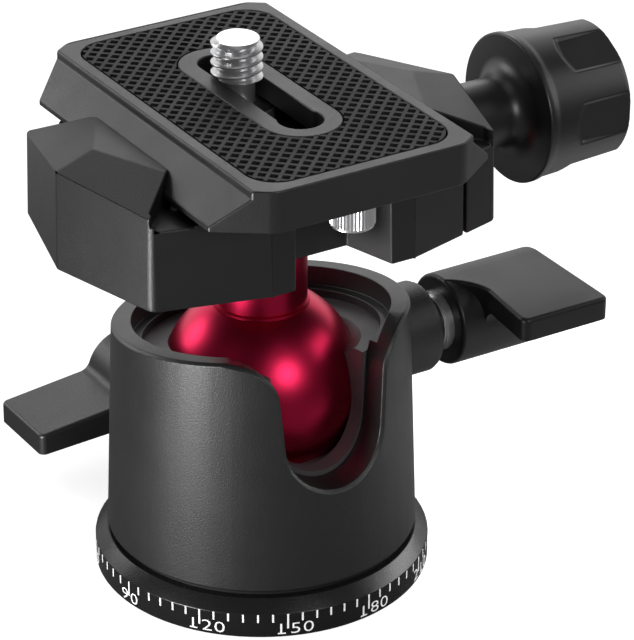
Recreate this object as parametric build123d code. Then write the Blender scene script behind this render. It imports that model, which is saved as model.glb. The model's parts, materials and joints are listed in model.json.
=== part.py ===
from build123d import *
import os
from math import acos, atan2, cos, radians, sin, sqrt, tan

# A small tripod ball head, in millimetres.
# The origin is the centre of the base's underside and +Z points up the head.
# +X points to the clamp knob and the main lock, -Y to the drop notch, and +Y to the pan lock.

# ---- Clearances and small allowances ----
RUNNING_CLEARANCE = 0.05
FACE_CLEARANCE = 0.05
JAW_CLEARANCE = 0.05
SEAT_CLEARANCE = 0.03
CUT_ALLOWANCE = 1.0
FAR = 80.0

# ---- Ball and neck ----
BALL_RADIUS = 12.5
BALL_CORE_RADIUS = 4.2
CORE_WALL = 0.49
NECK_RADIUS = 5.75
NECK_LENGTH = 11.2717
STEM_FLANGE_PROUD = 0.3
STEM_FLANGE_RADIUS = NECK_RADIUS + STEM_FLANGE_PROUD
STEM_FLANGE_THICKNESS = 0.5
STEM_ROOT_RADIUS = NECK_RADIUS - 1.15
STEM_SPIGOT_DEPTH = 2.5

# ---- Bore steps, each from the ball outwards ----
CAVITY_RADIUS = BALL_RADIUS + 2.2
RIM_BORE_RADIUS = CAVITY_RADIUS + 1.3
SPRING_RING_OUTER = CAVITY_RADIUS - 0.3
SPRING_RING_INNER = SPRING_RING_OUTER - 1.1
RING_POCKET_RADIUS = SPRING_RING_INNER - 0.4
RETAINER_RADIUS = RING_POCKET_RADIUS - 0.5
SPINDLE_RADIUS = RETAINER_RADIUS - 2.6
HOUSING_FOOT_RADIUS = RIM_BORE_RADIUS + 3.45
HOUSING_TAPER = 0.0359

# ---- Base and panning dial ----
DIAL_BAND_HEIGHT = 3.35
DIAL_CHAMFER = 1.5
DIAL_STEP = 0.1
BASE_RADIUS = HOUSING_FOOT_RADIUS + DIAL_STEP + DIAL_CHAMFER
PAN_GAP = 0.65
BASE_EDGE_BREAK = 0.25
PAN_WASHER_INSET = 0.9
DIAL_TOP = DIAL_BAND_HEIGHT + DIAL_CHAMFER
HOUSING_BOTTOM = DIAL_TOP + PAN_GAP

# ---- Tripod socket: 3/8 inch insert with a 1/4 inch adapter in it ----
ADAPTER_RADIUS = 4.7625
ADAPTER_LENGTH = 9.6
ADAPTER_RECESS = 0.3
ADAPTER_SLOT_WIDTH = 1.2
ADAPTER_SLOT_DEPTH = 1.4
TRIPOD_THREAD_RADIUS = 3.175
INSERT_RADIUS = ADAPTER_RADIUS + 1.3375
INSERT_FLANGE_RADIUS = INSERT_RADIUS + 0.35
INSERT_FLANGE_THICKNESS = 0.6
INSERT_TOP = ADAPTER_RECESS + ADAPTER_LENGTH

# ---- Spindle, its retaining ring and their screws ----
HOUSING_FLOOR_TOP = INSERT_TOP + 1.95
SPINDLE_TOP = HOUSING_FLOOR_TOP + FACE_CLEARANCE
SPINDLE_GROOVE_DEPTH = 0.7
SPINDLE_GROOVE_HALF = 1.1
RETAINER_THICKNESS = 1.0
RETAINER_BORE = 5.4
RETAINER_SCREW_CIRCLE = RETAINER_BORE + 2.2
RETAINER_SCREW_COUNT = 3
SPINDLE_SCREW_CIRCLE = INSERT_RADIUS + 2.0
SPINDLE_SCREW_COUNT = 3
SMALL_SCREW_RADIUS = 0.8
SMALL_SCREW_HEAD_RADIUS = 1.45
SMALL_SCREW_HEAD_HEIGHT = 0.8
SMALL_SCREW_LENGTH = 3.2

# ---- Heights up the housing, each from the one below ----
SPRING_SEAT_HEIGHT = SPINDLE_TOP + RETAINER_THICKNESS + 0.5
LOWER_CUP_BOTTOM = SPRING_SEAT_HEIGHT + 1.9
LOWER_CUP_TOP = LOWER_CUP_BOTTOM + 2.6
UPPER_SEAT_BOTTOM = LOWER_CUP_TOP + 0.1
BALL_HEIGHT = SPINDLE_TOP + 0.34 + BALL_RADIUS
UPPER_SEAT_TOP = BALL_HEIGHT + 5.86
RIM_HEIGHT = BALL_HEIGHT + 9.56
RIM_SLOPE = 0.148
RIM_CHAMFER = 0.35
LEDGE_DROP = 2.6
LEDGE_HEIGHT = RIM_HEIGHT - LEDGE_DROP

# ---- Drop notch ----
NOTCH_HALF_WIDTH = NECK_RADIUS + 0.95
NOTCH_CENTRE_HEIGHT = BALL_HEIGHT + 0.21
NOTCH_FLARE_RADIUS = 5.3
NOTCH_FLARE_X = NOTCH_HALF_WIDTH + 5.8
NOTCH_FLARE_HEIGHT = RIM_HEIGHT - 3.55
NOTCH_RUNOUT_DEGREES = 13.0
NOTCH_CHAMFER = 0.45

# ---- Seats ----
SEAT_SLOT_HALF_WIDTH = NECK_RADIUS + 0.75
SEAT_SLOT_CENTRE = BALL_HEIGHT + 0.61
SEAT_FUNNEL_LIP = 1.4
SEAT_FUNNEL_FLARE = 1.0
SEAT_FUNNEL_HEIGHT = 4.0
LOWER_CUP_BORE = BALL_RADIUS - 4.1
SPRING_WINDOW_COUNT = 6
SPRING_WINDOW_WIDTH = 10.0
SPRING_WINDOW_SHARE = 0.62

# ---- Main lock, on the +X side ----
MAIN_LOCK_HEIGHT = BALL_HEIGHT + 1.16
MAIN_BOSS_RADIUS = 5.9
MAIN_BOSS_END = HOUSING_FOOT_RADIUS + 3.95
MAIN_LEVER_RADIUS = 5.98
MAIN_LEVER_START = MAIN_BOSS_END + 2.8
MAIN_LEVER_END = MAIN_LEVER_START + 15.4
MAIN_PADDLE_REACH = 15.6
MAIN_PADDLE_TIP_THICKNESS = 3.0
MAIN_PADDLE_ROOT_Y = -1.1
MAIN_PADDLE_SHOULDER_X = MAIN_LEVER_START + 2.7
MAIN_PADDLE_SHOULDER_Y = -3.8
MAIN_PADDLE_WAIST_X = MAIN_LEVER_START + 3.45
MAIN_PADDLE_WAIST_Y = -6.2
MAIN_PADDLE_TIP_X = MAIN_LEVER_START + 2.3
MAIN_PADDLE_WEB_RADIUS = 1.6
MAIN_PADDLE_CORNER_RADIUS = 1.1
LOCK_STUD_RADIUS = 3.0
LOCK_COLLAR_RADIUS = 3.9
LOCK_COLLAR_WIDTH = 1.3
LOCK_SPACER_RADIUS = 3.45
LOCK_SHOE_RADIUS = 3.3
LOCK_SHOE_START = BALL_RADIUS - 0.9
LOCK_SHOE_END = LOCK_SHOE_START + 4.2

# ---- Pan lock, on the +Y side ----
PAN_LOCK_HEIGHT = HOUSING_BOTTOM + 4.6
PAN_BOSS_RADIUS = 5.2
PAN_BOSS_END = HOUSING_FOOT_RADIUS + 3.15
PAN_LEVER_RADIUS = 5.55
PAN_LEVER_START = PAN_BOSS_END + 2.3
PAN_LEVER_END = PAN_LEVER_START + 11.4
PAN_PADDLE_REACH = 18.3
PAN_PADDLE_TOP_ROOT = PAN_LOCK_HEIGHT + 0.8
PAN_PADDLE_TOP_TIP = PAN_LOCK_HEIGHT - 0.45
PAN_PADDLE_BOTTOM_ROOT = PAN_LOCK_HEIGHT - 2.7
PAN_PADDLE_BOTTOM_TIP = PAN_LOCK_HEIGHT - 3.3
PAN_PADDLE_HEEL_DROP = 4.44
PAN_PADDLE_WEB_RADIUS = 1.6
PAN_PADDLE_CORNER_RADIUS = 0.9
PAN_STUD_RADIUS = 1.5
PAN_COLLAR_RADIUS = 3.2
PAN_SHOE_START = SPINDLE_RADIUS + RUNNING_CLEARANCE
PAN_SHOE_END = PAN_SHOE_START + 3.4

# ---- Lever details ----
LEVER_EDGE_RADIUS = 0.5
LEVER_SCREW_RADIUS = 1.5
LEVER_SCREW_HEAD_RADIUS = 2.75
LEVER_SCREW_HEAD_HEIGHT = 3.0
LEVER_SCREW_RECESS = 1.0
LEVER_SOCKET_ACROSS_FLATS = 2.5
LEVER_SOCKET_DEPTH = 1.6

# ---- Quick-release plate: its section, from the flanks inwards ----
DOVETAIL_HALF = 19.0
PLATE_TOP_HALF = DOVETAIL_HALF - 4.05
PLATE_THICKNESS = 5.3
PLATE_LIP_HEIGHT = 1.0
PLATE_LAND_HEIGHT = 0.7
PLATE_CHAMFER = 0.2

# ---- Dovetail clamp ----
BALL_FLAT = BALL_HEIGHT + sqrt(BALL_RADIUS**2 - STEM_FLANGE_RADIUS**2)
STEM_FLANGE_BOTTOM = BALL_FLAT + FACE_CLEARANCE
STEM_ROOT_BOTTOM = BALL_HEIGHT + BALL_CORE_RADIUS + CORE_WALL + 2 * FACE_CLEARANCE
CLAMP_BOTTOM = STEM_FLANGE_BOTTOM + NECK_LENGTH
DECK_HEIGHT = CLAMP_BOTTOM + 10.2
BED_HEIGHT = DECK_HEIGHT + 1.0
BED_HALF_WIDTH = DOVETAIL_HALF - 3.6
CLAMP_TALL = BED_HEIGHT + 3.8
CLAMP_DRAFT = 1.4
CLAMP_EDGE_RADIUS = 1.3
CLAMP_APEX_RADIUS = 0.4
CLAMP_FRONT_Y = 19.3
CLAMP_FRONT_HALF = 9.85
CLAMP_SHOULDER_X = DOVETAIL_HALF + 4.75
CLAMP_SHOULDER_Y = 15.6
CLAMP_APEX_X = CLAMP_SHOULDER_X + 4.1
JAW_SPLIT_X = DOVETAIL_HALF - 0.8
JAW_SPLIT_GAP = 0.45
JAW_LIP_FRONT_Y = -8.1
JAW_LIP_BACK_Y = 9.9
JAW_LIP_HEIGHT = DECK_HEIGHT + 3.55
JAW_PEAK = (CLAMP_SHOULDER_X - 1.55, 0.9, DECK_HEIGHT + 3.75)
JAW_APEX_HEIGHT = DECK_HEIGHT + 2.35
JAW_FRONT_SHOULDER_HEIGHT = DECK_HEIGHT + 1.4
JAW_BACK_SHOULDER_HEIGHT = DECK_HEIGHT + 0.4
DECK_LIP_WIDTH = 0.8
DECK_LIP_HEIGHT = 0.35
DECK_TRAY_INSET = 2.56
DECK_OVERRUN = 4.0
GUIDE_PIN_Y = 10.6
GUIDE_PIN_RADIUS = 1.25
GUIDE_PIN_START = JAW_SPLIT_X - 10.2
GUIDE_PIN_END = JAW_SPLIT_X + 5.1
GUIDE_PIN_ROOM = 0.3
INDEX_PIN_RADIUS = 0.6
INDEX_PIN_X = 1.0 - DOVETAIL_HALF
INDEX_PIN_Y = -11.2
INDEX_PIN_PROUD = 0.3
INDEX_PIN_LENGTH = 5.0
CLAMP_BOLT_RADIUS = 2.5
CLAMP_BOLT_HEAD_RADIUS = 4.25
CLAMP_BOLT_HEAD_HEIGHT = 2.8
CLAMP_BOLT_TOP = DECK_HEIGHT - 1.0
CLAMP_BOLT_LENGTH = 14.0
BOLT_SOCKET_ACROSS_FLATS = 4.0
BOLT_SOCKET_DEPTH = 1.75

# ---- Clamp knob ----
KNOB_HEIGHT = CLAMP_BOTTOM + 6.03
KNOB_STEM_START = CLAMP_APEX_X + 0.55
KNOB_STEM_RADIUS = 4.45
KNOB_STEM_FILLET = 2.4
KNOB_INNER_X = KNOB_STEM_START + 7.55
KNOB_OUTER_X = KNOB_INNER_X + 12.85
KNOB_INNER_RADIUS = 9.65
KNOB_OUTER_RADIUS = 8.95
KNOB_BEAD_WIDTH = 1.0
KNOB_BEAD_DEPTH = 0.25
KNOB_FLUTE_COUNT = 6
KNOB_FLUTE_START = KNOB_INNER_X + 4.4
KNOB_FLUTE_WIDTH = 5.6
KNOB_FLUTE_DEPTH = 0.95
KNOB_EDGE_RADIUS = 0.7
KNOB_CAP_RADIUS = 5.2
KNOB_CAP_THICKNESS = 1.0
KNOB_CAP_SINK = 0.2
KNOB_WASHER_RADIUS = 4.45
SPOT_FACE_X = CLAMP_APEX_X - 0.65
CLAMP_SCREW_RADIUS = 2.5
CLAMP_SCREW_END = CLAMP_BOLT_HEAD_RADIUS + 2.75

# ---- Quick-release plate: its length, pad, slot and channel ----
PLATE_LENGTH = 50.0
PLATE_BOTTOM = BED_HEIGHT + FACE_CLEARANCE
PLATE_TOP = PLATE_BOTTOM + PLATE_THICKNESS
PLATE_LIP_BOTTOM = PLATE_TOP - PLATE_LIP_HEIGHT
PLATE_LAND_TOP = PLATE_BOTTOM + PLATE_LAND_HEIGHT
PLATE_CORNER_X = DOVETAIL_HALF - 6.3
PLATE_CORNER_Y = PLATE_LENGTH / 2 - 4.4
PLATE_CORNER_RADIUS = 3.0
PAD_HALF_WIDTH = PLATE_TOP_HALF - 1.65
PAD_HALF_LENGTH = PLATE_LENGTH / 2 - 1.85
PAD_CORNER_RADIUS = 4.0
PAD_DEPTH = 1.0
PAD_BOTTOM = PLATE_TOP - PAD_DEPTH
CAMERA_SHANK_RADIUS = 2.2
CAMERA_HEAD_RADIUS = 4.9
CAMERA_HEAD_HEIGHT = 1.75
CAMERA_HEAD_LIFT = 0.15
CLIP_RADIUS = 4.6
CLIP_THICKNESS = 0.35
SLOT_HALF_WIDTH = CAMERA_SHANK_RADIUS + 0.25
SLOT_FRONT_Y = -9.3
SLOT_BACK_Y = 10.0
KEYHOLE_RADIUS = SLOT_HALF_WIDTH + 0.3
COLLAR_RADIUS = SLOT_HALF_WIDTH + 2.55
COLLAR_BACK_INSET = 0.3
CHANNEL_HALF_WIDTH = CAMERA_HEAD_RADIUS + 0.5
CHANNEL_ROOF = PLATE_BOTTOM + CAMERA_HEAD_LIFT + CAMERA_HEAD_HEIGHT + CLIP_THICKNESS + 0.2
STOP_SCREW_Y = PLATE_LENGTH / 2 - 4.1
STOP_SCREW_RADIUS = 1.5
STOP_SCREW_HEAD_RADIUS = 2.7
STOP_SCREW_HEAD_HEIGHT = 3.5
STOP_SCREW_REACH = 3.0
STOP_SOCKET_ACROSS_FLATS = 2.0
STOP_SOCKET_DEPTH = 1.6
PLATE_TRAVEL = 5.8
STOP_GAP = 0.1
RECESS_FLOOR_Y = STOP_SCREW_Y - STOP_SCREW_HEAD_RADIUS - PLATE_TRAVEL - STOP_GAP
RECESS_FLOOR_HALF = STOP_SCREW_HEAD_RADIUS + 1.9
RECESS_MOUTH_HALF = RECESS_FLOOR_HALF + 2.29

# ---- Camera screw, 1/4 inch ----
CAMERA_SCREW_Y = 5.4
CAMERA_THREAD_RADIUS = 3.175
CAMERA_THREAD_RISE = 5.0
CAMERA_THREAD_START = 0.05
CAMERA_THREAD_CHAMFER = 0.45
CAMERA_THREAD_RUNOUT = 0.1
CAMERA_SLOT_WIDTH = 1.3
CAMERA_SLOT_DEPTH = 1.0

ON_FLOOR = (Align.CENTER, Align.CENTER, Align.MIN)


# ---- Shape helpers ----


def disc(radius, bottom, top, x=0.0, y=0.0):
    """Upright cylinder between two heights."""
    return Pos(x, y, bottom) * Cylinder(radius, top - bottom, align=ON_FLOOR)


def rod_x(radius, start, end, z, y=0.0):
    """Cylinder along X between two X places."""
    return Pos(start, y, z) * Rot(0, 90, 0) * Cylinder(radius, end - start, align=ON_FLOOR)


def rod_y(radius, start, end, z, x=0.0):
    """Cylinder along Y between two Y places."""
    return Pos(x, start, z) * Rot(-90, 0, 0) * Cylinder(radius, end - start, align=ON_FLOOR)


def block(x_range, y_range, z_range):
    """Box between two corners."""
    size = [high - low for low, high in (x_range, y_range, z_range)]
    corner = Pos(x_range[0], y_range[0], z_range[0])
    return corner * Box(*size, align=(Align.MIN, Align.MIN, Align.MIN))


def turned(points):
    """Solid of revolution about Z from (radius, height) corners."""
    return revolve(make_face(Plane.XZ * Polyline(*points, close=True)), Axis.Z)


def turned_about_x(points, z):
    """Solid of revolution about an axis along X, from (x, radius) corners."""
    profile = make_face(Plane.XZ * Polyline(*points, close=True))
    return Pos(0, 0, z) * revolve(profile, Axis.X)


def prism(points, bottom, top):
    """Upright prism over an XY outline."""
    return Pos(0, 0, bottom) * extrude(make_face(Polyline(*points, close=True)), top - bottom)


def above(point, normal):
    """Large block that fills the space on the normal's side of a plane."""
    return Plane(origin=point, z_dir=normal) * Box(2 * FAR, 2 * FAR, FAR, align=ON_FLOOR)


def above_rim_plane(height):
    """Space above a plane parallel to the oblique rim, at this height on the axis."""
    return above((0, 0, height), (0, RIM_SLOPE, 1))


def stadium(half_width, start_y, end_y, bottom, top):
    """Upright prism with round ends, whose end centres lie on the Y axis."""
    middle = block((-half_width, half_width), (start_y, end_y), (bottom, top))
    ends = disc(half_width, bottom, top, y=start_y) + disc(half_width, bottom, top, y=end_y)
    return middle + ends


def hex_socket(across_flats, bottom, top, x=0.0, y=0.0):
    """Upright hexagonal prism, to be cut from a screw head."""
    outline = RegularPolygon(across_flats / 2, 6, major_radius=False)
    return Pos(x, y, bottom) * extrude(outline, top - bottom)


def at_circle(radius, index, count, start_degrees=0.0):
    """Centre of one of several places spread evenly round a circle."""
    angle = radians(start_degrees + 360.0 * index / count)
    return radius * cos(angle), radius * sin(angle)


# ---- Base body ----


def base_disc():
    """Turned dial disc, with the socket bore, screw holes and a relief underneath."""
    edge = BASE_EDGE_BREAK
    body = turned(
        [
            (0, 0),
            (BASE_RADIUS - edge, 0),
            (BASE_RADIUS, edge),
            (BASE_RADIUS, DIAL_BAND_HEIGHT),
            (BASE_RADIUS - DIAL_CHAMFER, DIAL_TOP),
            (0, DIAL_TOP),
        ]
    )
    body -= disc(INSERT_RADIUS, 0, DIAL_TOP)
    body -= disc(INSERT_FLANGE_RADIUS, 0, INSERT_FLANGE_THICKNESS)
    for index in range(SPINDLE_SCREW_COUNT):
        body -= spindle_screw_space(index)
    return body


def spindle_screw_space(index):
    """Hole and countersunk seat for one screw that holds the spindle on the base."""
    x, y = at_circle(SPINDLE_SCREW_CIRCLE, index, SPINDLE_SCREW_COUNT, 30)
    head = disc(SMALL_SCREW_HEAD_RADIUS, 0, SMALL_SCREW_HEAD_HEIGHT, x, y)
    return head + disc(SMALL_SCREW_RADIUS, 0, DIAL_TOP + SMALL_SCREW_LENGTH, x, y)


def spindle_screw(index):
    """Socket screw from under the base into the spindle, its head flush in the base."""
    x, y = at_circle(SPINDLE_SCREW_CIRCLE, index, SPINDLE_SCREW_COUNT, 30)
    recess = BASE_EDGE_BREAK / 2
    head = disc(SMALL_SCREW_HEAD_RADIUS, recess, SMALL_SCREW_HEAD_HEIGHT, x, y)
    screw = head + disc(SMALL_SCREW_RADIUS, recess, DIAL_TOP + SMALL_SCREW_LENGTH, x, y)
    return screw - hex_socket(SMALL_SCREW_RADIUS, recess, SMALL_SCREW_HEAD_HEIGHT - recess, x, y)


def base_thread_insert():
    """Steel socket insert, closed at the top, with a thin flange at the mouth."""
    body = disc(INSERT_FLANGE_RADIUS, 0, INSERT_FLANGE_THICKNESS)
    body += disc(INSERT_RADIUS, 0, SPINDLE_TOP)
    return body - disc(ADAPTER_RADIUS, 0, INSERT_TOP)


def thread_adapter():
    """Slotted bushing that narrows the socket to the smaller tripod thread."""
    body = disc(ADAPTER_RADIUS, ADAPTER_RECESS, INSERT_TOP)
    body -= disc(TRIPOD_THREAD_RADIUS, ADAPTER_RECESS, INSERT_TOP)
    slot_top = ADAPTER_RECESS + ADAPTER_SLOT_DEPTH
    half = ADAPTER_SLOT_WIDTH / 2
    return body - block((-half, half), (-FAR, FAR), (ADAPTER_RECESS, slot_top))


def pan_spindle():
    """Post that the housing turns round, with a V groove for the pan lock's shoe."""
    half = SPINDLE_GROOVE_HALF
    groove_height = PAN_LOCK_HEIGHT
    body = turned(
        [
            (INSERT_RADIUS, DIAL_TOP),
            (SPINDLE_RADIUS, DIAL_TOP),
            (SPINDLE_RADIUS, groove_height - half),
            (SPINDLE_RADIUS - SPINDLE_GROOVE_DEPTH, groove_height),
            (SPINDLE_RADIUS, groove_height + half),
            (SPINDLE_RADIUS, SPINDLE_TOP),
            (INSERT_RADIUS, SPINDLE_TOP),
        ]
    )
    for index in range(SPINDLE_SCREW_COUNT):
        body -= spindle_screw_space(index)
    for index in range(RETAINER_SCREW_COUNT):
        body -= retainer_screw_space(index)
    return body


def retainer_screw_space(index):
    """Hole and head seat for one screw that holds the retaining ring on the spindle."""
    x, y = at_circle(RETAINER_SCREW_CIRCLE, index, RETAINER_SCREW_COUNT, 90)
    top = SPINDLE_TOP + RETAINER_THICKNESS
    head = disc(SMALL_SCREW_HEAD_RADIUS, top - SMALL_SCREW_HEAD_HEIGHT, top, x, y)
    return head + disc(SMALL_SCREW_RADIUS, SPINDLE_TOP - SMALL_SCREW_LENGTH, top, x, y)


def retainer_screw(index):
    """Socket screw, flush in the retaining ring."""
    x, y = at_circle(RETAINER_SCREW_CIRCLE, index, RETAINER_SCREW_COUNT, 90)
    top = SPINDLE_TOP + RETAINER_THICKNESS
    socket_bottom = top - SMALL_SCREW_HEAD_HEIGHT / 2
    return retainer_screw_space(index) - hex_socket(SMALL_SCREW_RADIUS, socket_bottom, top, x, y)


def pan_retainer():
    """Ring on the spindle that keeps the housing from lifting off."""
    top = SPINDLE_TOP + RETAINER_THICKNESS
    body = disc(RETAINER_RADIUS, SPINDLE_TOP, top) - disc(RETAINER_BORE, SPINDLE_TOP, top)
    for index in range(RETAINER_SCREW_COUNT):
        body -= retainer_screw_space(index)
    return body


def pan_washer():
    """Thin bearing washer in the gap between the dial and the housing."""
    outer = BASE_RADIUS - DIAL_CHAMFER - PAN_WASHER_INSET
    top = HOUSING_BOTTOM - FACE_CLEARANCE
    return disc(outer, DIAL_TOP, top) - disc(SPINDLE_RADIUS, DIAL_TOP, top)


# ---- Housing body ----


def housing_radius(height):
    """Outside radius of the tapered housing at a height."""
    return HOUSING_FOOT_RADIUS - HOUSING_TAPER * (height - HOUSING_BOTTOM)


def notch_edges():
    """Outline of the drop notch in XZ: round bottom, leaning walls and a flared mouth."""
    rise = NOTCH_FLARE_HEIGHT - NOTCH_CENTRE_HEIGHT
    span = sqrt(NOTCH_FLARE_X**2 + rise**2)
    lean = acos((NOTCH_HALF_WIDTH + NOTCH_FLARE_RADIUS) / span) - atan2(rise, NOTCH_FLARE_X)
    runout = radians(NOTCH_RUNOUT_DEGREES)
    foot = (NOTCH_HALF_WIDTH * cos(lean), NOTCH_CENTRE_HEIGHT - NOTCH_HALF_WIDTH * sin(lean))
    bottom = (0, NOTCH_CENTRE_HEIGHT - NOTCH_HALF_WIDTH)
    start = flare_point(radians(90) - lean)
    middle = flare_point((radians(90) - lean + runout) / 2)
    end = flare_point(runout)
    far = (end[0] + NOTCH_HALF_WIDTH, end[1] + NOTCH_HALF_WIDTH * tan(runout))
    sky = RIM_HEIGHT + RIM_SLOPE * HOUSING_FOOT_RADIUS + NOTCH_HALF_WIDTH
    right = [Line(foot, start), ThreePointArc(start, middle, end), Line(end, far)]
    left = [mirror(edge, Plane.YZ) for edge in right]
    lid = Polyline(far, (far[0], sky), (-far[0], sky), (-far[0], far[1]))
    return right + left + [lid, ThreePointArc((-foot[0], foot[1]), bottom, foot)]


def flare_point(angle):
    """Point on the right flare arc, at an angle from straight up towards the notch."""
    x = NOTCH_FLARE_X - NOTCH_FLARE_RADIUS * sin(angle)
    return x, NOTCH_FLARE_HEIGHT + NOTCH_FLARE_RADIUS * cos(angle)


def notch_space():
    """Space of the drop notch through the front wall."""
    outline = make_face([Plane.XZ * edge for edge in notch_edges()])
    return Pos(0, -BALL_RADIUS / 2, 0) * extrude(outline, HOUSING_FOOT_RADIUS)


def on_housing_wall(edge):
    """True where an edge lies on the tapered outside of the housing."""
    points = [edge @ (share / 4) for share in range(5)]
    return all(abs(sqrt(p.X**2 + p.Y**2) - housing_radius(p.Z)) < 0.01 for p in points)


def housing():
    """Tapered shell with an oblique rim, stepped bore, drop notch and two lock bosses."""
    tall = RIM_HEIGHT + RIM_SLOPE * HOUSING_FOOT_RADIUS + 2 * CUT_ALLOWANCE
    edge = BASE_EDGE_BREAK
    shell = turned(
        [
            (0, HOUSING_BOTTOM),
            (HOUSING_FOOT_RADIUS - edge, HOUSING_BOTTOM),
            (housing_radius(HOUSING_BOTTOM + edge), HOUSING_BOTTOM + edge),
            (housing_radius(tall), tall),
            (0, tall),
        ]
    )
    shell -= above_rim_plane(RIM_HEIGHT)
    rim_edges = shell.edges().sort_by(Axis.Z)[-1:]
    shell = chamfer(rim_edges, RIM_CHAMFER)
    shell -= notch_space()
    wall_edges = [edge for edge in shell.edges() if on_housing_wall(edge)]
    notch_rim = [edge for edge in wall_edges if (edge @ 0.5).Y < -BALL_RADIUS]
    notch_rim = [edge for edge in notch_rim if (edge @ 0.5).Z > HOUSING_FLOOR_TOP]
    shell = chamfer(notch_rim, NOTCH_CHAMFER)
    boss_edge = LEVER_EDGE_RADIUS
    main_boss = rod_x(MAIN_BOSS_RADIUS, 0, MAIN_BOSS_END - boss_edge, MAIN_LOCK_HEIGHT)
    main_boss += rod_x(MAIN_BOSS_RADIUS - boss_edge / 2, 0, MAIN_BOSS_END, MAIN_LOCK_HEIGHT)
    pan_boss = rod_y(PAN_BOSS_RADIUS, 0, PAN_BOSS_END, PAN_LOCK_HEIGHT)
    pan_boss -= block((-FAR, FAR), (-FAR, FAR), (0, HOUSING_BOTTOM))
    body = shell + main_boss + pan_boss
    body -= disc(SPINDLE_RADIUS + RUNNING_CLEARANCE, 0, HOUSING_FLOOR_TOP)
    body -= disc(RING_POCKET_RADIUS, HOUSING_FLOOR_TOP, SPRING_SEAT_HEIGHT)
    body -= disc(CAVITY_RADIUS, SPRING_SEAT_HEIGHT, tall)
    rim_bore = disc(RIM_BORE_RADIUS, BALL_HEIGHT, tall)
    body -= rim_bore & above_rim_plane(LEDGE_HEIGHT)
    body -= notch_space()
    shoe_end = LOCK_SHOE_END + CUT_ALLOWANCE
    body -= rod_x(LOCK_SHOE_RADIUS + RUNNING_CLEARANCE, LOCK_SHOE_START, shoe_end, MAIN_LOCK_HEIGHT)
    body -= rod_x(LOCK_STUD_RADIUS + RUNNING_CLEARANCE, LOCK_SHOE_END, FAR, MAIN_LOCK_HEIGHT)
    body -= rod_y(PAN_STUD_RADIUS + RUNNING_CLEARANCE, SPINDLE_RADIUS, FAR, PAN_LOCK_HEIGHT)
    return body


def upper_seat():
    """Liner that holds the ball down, with a funnel mouth and its own slot."""
    bottom = UPPER_SEAT_BOTTOM
    body = disc(CAVITY_RADIUS, bottom, RIM_HEIGHT) - above_rim_plane(UPPER_SEAT_TOP)
    body -= Pos(0, 0, BALL_HEIGHT) * Sphere(BALL_RADIUS + SEAT_CLEARANCE)
    body -= disc(BALL_RADIUS + SEAT_CLEARANCE, bottom, BALL_HEIGHT)
    lip = BALL_RADIUS - SEAT_FUNNEL_LIP
    mouth = CAVITY_RADIUS + SEAT_FUNNEL_FLARE
    body -= Pos(0, 0, UPPER_SEAT_TOP) * Cone(lip, mouth, SEAT_FUNNEL_HEIGHT, align=ON_FLOOR)
    half = SEAT_SLOT_HALF_WIDTH
    body -= rod_y(half, -FAR, 0, SEAT_SLOT_CENTRE)
    body -= block((-half, half), (-FAR, 0), (SEAT_SLOT_CENTRE, FAR))
    return body - rod_x(LOCK_SHOE_RADIUS + RUNNING_CLEARANCE, 0, CAVITY_RADIUS + 1, MAIN_LOCK_HEIGHT)


def lower_cup():
    """Spring-loaded ring that presses up against the underside of the ball."""
    outer = CAVITY_RADIUS - RUNNING_CLEARANCE
    body = disc(outer, LOWER_CUP_BOTTOM, LOWER_CUP_TOP) - disc(LOWER_CUP_BORE, 0, LOWER_CUP_TOP)
    body -= Pos(0, 0, BALL_HEIGHT) * Sphere(BALL_RADIUS + SEAT_CLEARANCE)
    slot = rod_y(SEAT_SLOT_HALF_WIDTH, -FAR, 0, SEAT_SLOT_CENTRE)
    return body - slot


def cup_spring():
    """Slotted ring spring under the cup, with windows from above and below in turn."""
    bottom = SPRING_SEAT_HEIGHT
    top = LOWER_CUP_BOTTOM
    body = disc(SPRING_RING_OUTER, bottom, top) - disc(SPRING_RING_INNER, bottom, top)
    depth = SPRING_WINDOW_SHARE * (top - bottom)
    half = SPRING_WINDOW_WIDTH / 2
    for index in range(SPRING_WINDOW_COUNT):
        low = bottom + (top - bottom - depth if index % 2 else 0)
        window = block((0, CAVITY_RADIUS), (-half, half), (low, low + depth))
        body -= Rot(0, 0, 360.0 * index / SPRING_WINDOW_COUNT) * window
    return body


def lock_shoe():
    """Plug that the main lock's stud presses on the side of the ball."""
    body = rod_x(LOCK_SHOE_RADIUS, LOCK_SHOE_START, LOCK_SHOE_END, MAIN_LOCK_HEIGHT)
    return body - Pos(0, 0, BALL_HEIGHT) * Sphere(BALL_RADIUS + SEAT_CLEARANCE)


def pan_shoe():
    """Pointed plug that the pan lock's stud presses into the spindle's groove."""
    return rod_y(PAN_STUD_RADIUS, PAN_SHOE_START, PAN_SHOE_END, PAN_LOCK_HEIGHT)


# ---- Lock levers ----


def web_centre(radius, web_radius, drop):
    """Distance from the barrel's axis to the centre of an arc that blends it to a paddle."""
    return sqrt((radius + web_radius) ** 2 - drop**2)


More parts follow.
